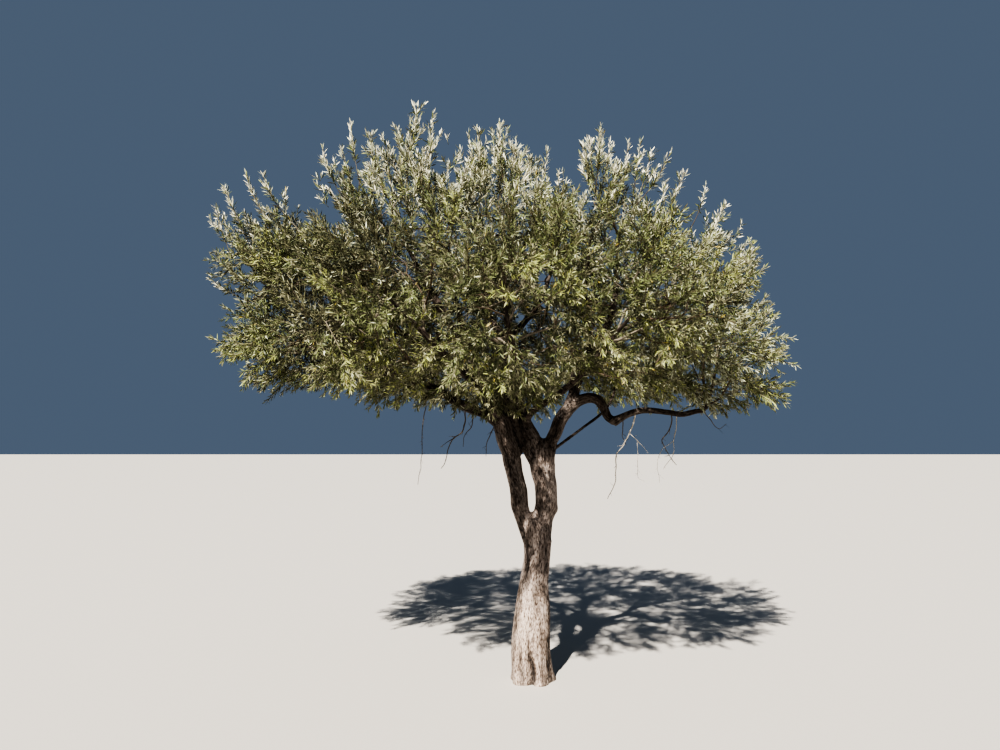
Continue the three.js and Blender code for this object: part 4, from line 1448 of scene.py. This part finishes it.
# %% Ways and faces of the leaves
TUFT_CLOSER, LEAF_SPREAD = 0.06, 0.3  # radians
SAG, LOW_SAG = 0.05, 0.17
LIGHT_UP, LIGHT_OUT = 0.75, 0.65
SUNNY_WAY = 0.35 * np.array([-0.45, -0.58, 0.67])
UPRIGHT_FROM, UPRIGHT_SPAN, UPRIGHT_FADES = 2.7, 0.7, 4
TO_TIP, UPRIGHT_TO_TIP = 0.45, 0.6  # how much a face looks to its shoot's tip
TO_LIGHT, UPRIGHT_TURNED, FACE_SPREAD = 0.7, 0.5, 0.72  # how much to the light

angle = BASE_ANGLE + (TIP_ANGLE - BASE_ANGLE) * t - TUFT_CLOSER * on_tuft
angle = angle + rng.normal(0, LEAF_SPREAD, number)
sag = (SAG + LOW_SAG * (1 - height_share[spray])) * up
blade_way = unit(turned(angle, way, out) - sag)
to_light = unit(LIGHT_UP * up + LIGHT_OUT * outward[spray] + SUNNY_WAY)
upright = rise(foot[:, 2], UPRIGHT_FROM, UPRIGHT_SPAN) * near_face(foot, UPRIGHT_FADES)
stiff = upright[:, None]
face = (TO_TIP + UPRIGHT_TO_TIP * stiff) * square_off(way, blade_way)
uneven = FACE_SPREAD * rng.normal(size=(number, 3))
face += (TO_LIGHT - UPRIGHT_TURNED * stiff) * to_light + uneven
face = square_off(face, blade_way)
across = np.cross(face, blade_way)
print("mean angle between leaf and shoot:", round(float(np.degrees(angle.mean()))), "degrees")

# %% Leaves
LEAF_LENGTH, LEAF_WIDTH = 0.0385, 0.007
END_SIZE, MIDDLE_LARGER, FULLER_FOOT, SIZE_SPREAD = 0.74, 0.34, 0.1, (0.82, 1.16)
UPRIGHT_LONGER = 0.3  # the leaves of the tufts on top
WIDTH_FOLLOWS = 0.45  # how much of a leaf's difference in length its width takes up
SLACK, LEAF_HEART = 0.8, 0.6  # how much of a gap leaves keep clear, and where that is tried
# shares of leaves that are missing: on the foot of a shoot, everywhere, in the hollows and on top
FOOT_TO, BARE_FOOT_SHARE, BARE, BARE_IN_WINDOW = 0.35, 0.22, 0.03, 0.45
TOP_TO, BARE_TOP, TOP_ENDS, TUFT_ENDS, RIGHT_ENDS = 0.55, 0.3, 0.1, 0.25, 0.12

bulge = np.sin(np.pi * np.clip(FULLER_FOOT + (1 - FULLER_FOOT) * t, 0, 1))
size = END_SIZE + MIDDLE_LARGER * bulge
size = size * rng.uniform(*SIZE_SPREAD, number) * (1 + UPRIGHT_LONGER * upright)
leaf_length = LEAF_LENGTH * size
leaf_width = LEAF_WIDTH * (1 - WIDTH_FOLLOWS + WIDTH_FOLLOWS * size)

open_sky = inside_any(foot + blade_way * leaf_length[:, None] * LEAF_HEART, GAPS, SLACK)
bare_ends = TOP_ENDS + TUFT_ENDS * on_tuft + RIGHT_ENDS * (foot[:, 0] > RIGHT_FROM)
bare = BARE + BARE_FOOT_SHARE * (t < FOOT_TO)
bare = bare + upright * np.where(t < TOP_TO, BARE_TOP, bare_ends)
bare += BARE_IN_WINDOW * in_window(foot)
grown = ~open_sky & (rng.random(number) > bare)
area = LEAF_FILL * (leaf_length * leaf_width)[grown].sum()
print(int(grown.sum()), "leaves,", round(float(area), 1), "m2 of leaf")

# %% Leaf corners
BEND = (-0.02, 0.16)  # how far a tip hangs back from the blade's plane, over its length

along, sideways, raised = BLADE.T[..., None]
long, wide = leaf_length[:, None, None], leaf_width[:, None, None]
corner = (foot[:, None] + blade_way[:, None] * (along * long)
          + across[:, None] * (sideways * wide) + face[:, None] * (raised * wide))
bend = along[:, 0] ** 2 * (leaf_length * rng.uniform(*BEND, number))[:, None]
corner -= face[:, None] * bend[..., None]
print("highest leaf corner at", corner[grown][..., 2].max().round(3), "m")

# %% [markdown]
# ## Colours dealt out by spray
# The leaves of one spray are of one age and stand in one light, so they share a tone: deep olive
# green in the older wood, lighter and yellower on this year's shoots, with here and there a leaf
# that is turning. The tone also carries painted light: sprays on the right, low on the left and
# low in front are made lighter as painted sunlight, some places on the front side are made
# lighter or darker as painted sun and painted shade, and the top is paler, partly for its silver
# leaves and partly as painted sunlight. Every finish is one even colour, because the pattern comes
# from thousands of small leaves that face different ways.

# %% Leaf finishes
WAX, BARE_WAX, DOWN = (0.46, 0.35), (0.45, 0.5), (0.65, 0.3)  # roughness and specular level
UPPER = [
    plain_finish("leaf_deep", (0.055, 0.06, 0.032), *WAX),
    plain_finish("leaf_olive", (0.09, 0.105, 0.047), *WAX),
    plain_finish("leaf_green", (0.146, 0.169, 0.074), *WAX),
    plain_finish("leaf_fresh", (0.278, 0.3, 0.11), *WAX),
    plain_finish("leaf_grey_green", (0.4, 0.418, 0.31), *BARE_WAX)]
LOWER = [
    plain_finish("leaf_underside", (0.212, 0.207, 0.132), *DOWN),
    plain_finish("leaf_silver", (0.512, 0.5, 0.39), *DOWN),
    plain_finish("leaf_silver_pale", (0.832, 0.8, 0.635), *DOWN)]
LEAF_FINISHES = [*UPPER, *LOWER, plain_finish("leaf_turning", (0.4, 0.32, 0.085), 0.5)]
print(len(LEAF_FINISHES), "leaf finishes")

# %% Tones of the sprays
# painted light and shade: in these places sprays are made lighter as if sunlit, or darker as if in
# a shaded hollow
PAINTED_LIGHT_AND_SHADE_SPOTS = np.array([  # x, z on the plane through the trunk, half width, half height, lighter
    (-1.55, 2.33, 0.26, 0.34, -1), (-0.95, 2.95, 0.26, 0.25, -0.35),
    (-0.75, 2.05, 0.55, 0.26, 0.5), (1.2, 2.2, 0.38, 0.4, 0.3), (0.04, 3.09, 0.17, 0.2, 0.3),
    (-0.35, 2.95, 0.3, 0.4, -0.12), (-0.86, 2.8, 0.15, 0.13, -0.5),
    (-0.88, 2.35, 0.16, 0.15, 0.45)])
SPOTS_REACH = 0.6  # how far behind the trunk
# painted light: only the sprays on the right, made lighter as painted sunlight, may reach the
# grey-green
GREY_FROM, LIGHTEST = 0.6, (0.999, 1.249)  # only the right side reaches the grey-green
TONE_NOISES = (0.55, 0.55, 31), (0.45, 0.21, 32)  # weight, metres, seed
MIDDLE_TONE, NOISE_SHARE, TONE_SPREAD = 0.5, 0.8, 0.22
RIGHT_PAINTED_LIGHT, RIGHT_SPAN, LOW_LEFT_PAINTED_LIGHT, LOW_SPRAYS_PAINTED_LIGHT = 0.45, 0.8, 0.25, 0.08
LEFTWARDS, DOWNWARDS = (0.7, 0.5), (-2.5, 0.3)  # where the low left side starts, and its span

tone = sum(weight * noise(tips / size, seed) for weight, size, seed in TONE_NOISES)
# painted sunlight: sprays on the right, low on the left and the low ones in front are made lighter
low_left = rise(-tips[:, 0], *LEFTWARDS) * rise(-tips[:, 2], *DOWNWARDS)
painted_sunlight = RIGHT_PAINTED_LIGHT * rise(tips[:, 0], 0, RIGHT_SPAN)
painted_sunlight = painted_sunlight + LOW_LEFT_PAINTED_LIGHT * low_left + LOW_SPRAYS_PAINTED_LIGHT * is_low
seen = np.stack(on_trunk_plane(tips), -1)
off_spot = (seen[:, None] - PAINTED_LIGHT_AND_SHADE_SPOTS[:, :2]) / PAINTED_LIGHT_AND_SHADE_SPOTS[:, 2:4]
painted_spot_tone = np.exp(-(off_spot**2).sum(2)) @ PAINTED_LIGHT_AND_SHADE_SPOTS[:, 4] * (tips[:, 1] < SPOTS_REACH)
# the tone of a spray: its age and random unevenness, plus painted light and painted shade
age_tone_and_painted_light = MIDDLE_TONE + painted_sunlight + painted_spot_tone + NOISE_SHARE * tone
age_tone_and_painted_light = age_tone_and_painted_light + TONE_SPREAD * rng.normal(size=count)
age_tone_and_painted_light = np.clip(age_tone_and_painted_light, 0, np.where(tips[:, 0] > GREY_FROM, LIGHTEST[1], LIGHTEST[0]))
upper_of_spray = (age_tone_and_painted_light * (len(UPPER) - 1)).astype(int)
print("mean lightness of the sprays:", age_tone_and_painted_light.mean().round(3))

# %% The paler top: silver leaves and painted sunlight
PALE_FROM, PALE_SPAN, PALE_FADES = 2.85, 0.45, 5
PALE_LOWER, LOWER_FROM, LOWER_SPAN = 0.3, 0.1, 0.4  # it starts lower on the right
# bleached here means paler on top: partly silver leaves, partly painted sunlight
GREYS_FROM, GREYS_SPREAD = 0.35, 0.5  # how bleached a spray is whose upper sides are grey
SILVER, PALE_SILVER, MOST_SILVER = 0.13, 0.85, 0.999
MIXED_IN, MIXED_FROM, MIXED_SPAN, LEAST_MIXED = 0.13, 2.1, 0.5, 0.3

# a paler top: partly silver leaves, partly painted sunlight on the upper sprays
pale_from = PALE_FROM - PALE_LOWER * rise(tips[:, 0], LOWER_FROM, LOWER_SPAN)
silver_and_painted_sun_on_top = rise(tips[:, 2], pale_from, PALE_SPAN) * near_face(tips, PALE_FADES)
upper_of_spray[silver_and_painted_sun_on_top > GREYS_FROM + GREYS_SPREAD * rng.random(count)] = len(UPPER) - 1
mixed_in = MIXED_IN * np.maximum(rise(tips[:, 2], MIXED_FROM, MIXED_SPAN), LEAST_MIXED)
mixed_in = mixed_in * rng.normal(size=count)
silver = np.clip(SILVER + PALE_SILVER * silver_and_painted_sun_on_top + mixed_in, 0, MOST_SILVER)
lower_of_spray = (silver * len(LOWER)).astype(int) + len(UPPER)
print("sprays of each upper tone:", np.bincount(upper_of_spray).tolist())

# %% Finish of each leaf
OLD_LEAVES, OLDEST = 0.5, 2  # the lower half of a shoot bears no tone past this one
DARKER, GREYER, TURNING = 0.22, 0.05, 0.004  # shares of single leaves
SEEN_LEVEL, SEEN_LOW, SIDE_SPREAD = [1, 1, 0.4], 0.3, 0.15  # leaves are seen from the side

spray, face, t, corner = (v[grown] for v in (spray, face, t, corner))
number = len(spray)
seen_from = unit(outward[spray] * SEEN_LEVEL - SEEN_LOW * up)
shows_upper = (face * seen_from).sum(1) + SIDE_SPREAD * rng.normal(size=number) > 0
upper, lower = upper_of_spray[spray], lower_of_spray[spray]
upper = np.where(t > OLD_LEAVES, upper, np.minimum(upper, OLDEST))
upper = np.where(rng.random(number) < DARKER, np.maximum(upper - 1, 0), upper)
upper = np.where(rng.random(number) < GREYER, len(UPPER) - 1, upper)
lower = np.where(t > OLD_LEAVES, lower, len(UPPER))
finish = np.where(shows_upper, upper, lower)
finish = np.where(rng.random(number) < TURNING, len(LEAF_FINISHES) - 1, finish)
print("leaves that show their upper side:", round(float(shows_upper.mean()), 2))

# %% Pieces of the crown
leaves, twiggy = {}, []
for index, mass in enumerate(HEARTS):
    mine = mass_of_spray[spray] == index
    halves = np.arange(mine.sum())[:, None, None] * len(BLADE) + HALVES
    leaves[mass] = mesh_piece(
        "leaves_" + mass, corner[mine].reshape(-1, 3), [halves.reshape(-1, 4)],
        LEAF_FINISHES, np.repeat(finish[mine], len(HALVES)), smooth=False)
    twiggy += [mesh_piece("limbs_" + mass, *limbs[mass]),
               mesh_piece("shoots_" + mass, *shoots[mass])]
print(len(leaves) + len(twiggy), "pieces of leaves, limbs and shoots")

# %% [markdown]
# ## Dead twigs under the crown
# No light reaches the underside of the crown, so the twigs there have died and hang bare, some of
# them dark, some bleached by the sun. Their courses are measured in the photograph. Each starts at
# the nearest place on the limb that carries it, wanders a little, and bears snags, which are the
# stumps of its own side twigs, at random turns.

# %% Courses of the dead twigs
DARK, BLEACHED = 0, 1
DEAD_FINISHES = [TWIGS[0], plain_finish("twig_bleached", (0.46, 0.42, 0.36), 0.85, 0.3)]
DEAD_TWIGS = [  # what it hangs from (a limb or an earlier twig), its finish, radius, points
    ("bough_right_low", DARK, 0.0036, [
        (0.601, -0.11, 1.702), (0.597, -0.067, 1.637), (0.61, -0.023, 1.574),
        (0.636, 0.02, 1.531)]),
    ("bough_right_low", BLEACHED, 0.0055, [
        (0.673, -0.11, 1.735), (0.673, -0.109, 1.702), (0.651, -0.107, 1.643),
        (0.626, -0.106, 1.584), (0.58, -0.105, 1.513), (0.551, -0.104, 1.461),
        (0.546, -0.103, 1.389), (0.545, -0.101, 1.311), (0.489, -0.1, 1.181)]),
    (1, BLEACHED, 0.003, [(0.656, -0.107, 1.604), (0.698, -0.13, 1.546), (0.748, -0.14, 1.478)]),
    (2, BLEACHED, 0.0022, [
        (0.681, -0.13, 1.565), (0.684, -0.12, 1.435), (0.691, -0.11, 1.318),
        (0.728, -0.1, 1.298)]),
    ("bough_right_low", DARK, 0.0042, [
        (0.915, -0.11, 1.728), (0.909, -0.096, 1.656), (0.858, -0.082, 1.565),
        (0.875, -0.068, 1.512), (0.915, -0.054, 1.453), (0.955, -0.04, 1.4)]),
    ("bough_right_low", BLEACHED, 0.0036, [
        (0.945, -0.11, 1.728), (0.94, -0.125, 1.627), (0.92, -0.14, 1.559),
        (0.909, -0.155, 1.478), (0.845, -0.17, 1.385)]),
    (5, BLEACHED, 0.0022, [(0.92, -0.14, 1.559), (0.814, -0.175, 1.469), (0.807, -0.2, 1.291)]),
    ("bough_right_low", DARK, 0.003, [
        (1.127, -0.1, 1.748), (1.228, -0.09, 1.637), (1.284, -0.08, 1.67)]),
    ("bough_left_low", DARK, 0.0048, [
        (-0.442, -0.1, 1.761), (-0.448, -0.114, 1.656), (-0.46, -0.129, 1.61),
        (-0.514, -0.143, 1.578), (-0.542, -0.157, 1.526), (-0.556, -0.171, 1.459),
        (-0.57, -0.186, 1.418), (-0.593, -0.2, 1.38)]),
    (8, DARK, 0.0026, [(-0.513, -0.143, 1.578), (-0.553, -0.19, 1.553), (-0.592, -0.22, 1.521)]),
    ("bough_left_low", DARK, 0.0036, [
        (-0.396, -0.1, 1.748), (-0.398, -0.115, 1.65), (-0.43, -0.13, 1.61),
        (-0.449, -0.145, 1.578), (-0.454, -0.16, 1.52)]),
    ("stem_left", DARK, 0.0038, [
        (-0.278, -0.06, 1.677), (-0.291, -0.087, 1.565), (-0.305, -0.113, 1.487),
        (-0.3, -0.14, 1.458)]),
    ("bough_left_low", DARK, 0.0034, [
        (-0.722, -0.13, 1.793), (-0.719, -0.147, 1.591), (-0.72, -0.165, 1.459),
        (-0.727, -0.183, 1.36), (-0.737, -0.2, 1.278)])]
print(len(DEAD_TWIGS), "dead twigs")

# %% Twigs and snags
TWIG_SIDES, SNAG_SIDES, THINNING = 6, 3, 0.62
SNAG_GAP, SHORTEST_SNAG, LONGEST_SNAG = 0.055, 0.012, 0.055
SNAG_SHARES = [0.6, 0.45, 0.2]  # of the twig's radius, from foot to end
TWIG_SWAY, SWAY_LENGTH, SWAY_AT = 0.006, 0.05, (0.2, 4.4, 8.6)
SNAG_DROP = 0.6

parts, tones, hung = [], [], []
for number, (carrier, finish, thick, through) in enumerate(DEAD_TWIGS):
    carried_at = routes[carrier][:, :3] if isinstance(carrier, str) else hung[carrier]
    nearest = np.linalg.norm(carried_at - np.array(through[0]), axis=1).argmin()
    path = course([carried_at[nearest], *through[1:]])
    along = distance_along(path)
    sway = [noise_at(along / SWAY_LENGTH + s, number + s, s, seed=51) for s in SWAY_AT]
    path += TWIG_SWAY * rise(along, 0, SWAY_LENGTH)[:, None] * np.stack(sway, 1)
    hung.append(path)
    radius = thick * (1 - THINNING * along / along[-1])
    snags = max(2, int(along[-1] / SNAG_GAP))
    at = rng.integers(len(path) // 5, len(path), snags)
    side_way = unit(rng.normal(size=(snags, 3)) - SNAG_DROP * up)[:, None]
    length = rng.uniform(SHORTEST_SNAG, LONGEST_SNAG, (snags, 1, 1))
    snag_path = path[at][:, None] + side_way * length * np.linspace(0, 1, 3)[:, None]
    for part in (tubes(path[None], radius[None], TWIG_SIDES),
                 tubes(snag_path, radius[at][:, None] * SNAG_SHARES, SNAG_SIDES)):
        parts.append(part)
        tones.append(np.full(sum(len(group) for group in part[1]), finish))
dead = mesh_piece("dead_twigs", *joined(parts), DEAD_FINISHES, np.concatenate(tones))
print("faces of dead twigs:", len(dead.data.polygons))

# %% [markdown]
# ## What stands for what
# The tree has no joint, so every piece rides on its one body. The wood stands for the model's
# trunk, stems and boughs, and each mass of leaves for the foliage solid that it fills.

# %% Finish
for piece in (wood, boughs, dead, *twiggy):
    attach(piece, "root")
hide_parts("trunk", *STEM_STATIONS, *BOUGHS)
for mass, piece in leaves.items():
    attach(piece, "root")
    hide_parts("foliage_" + mass)
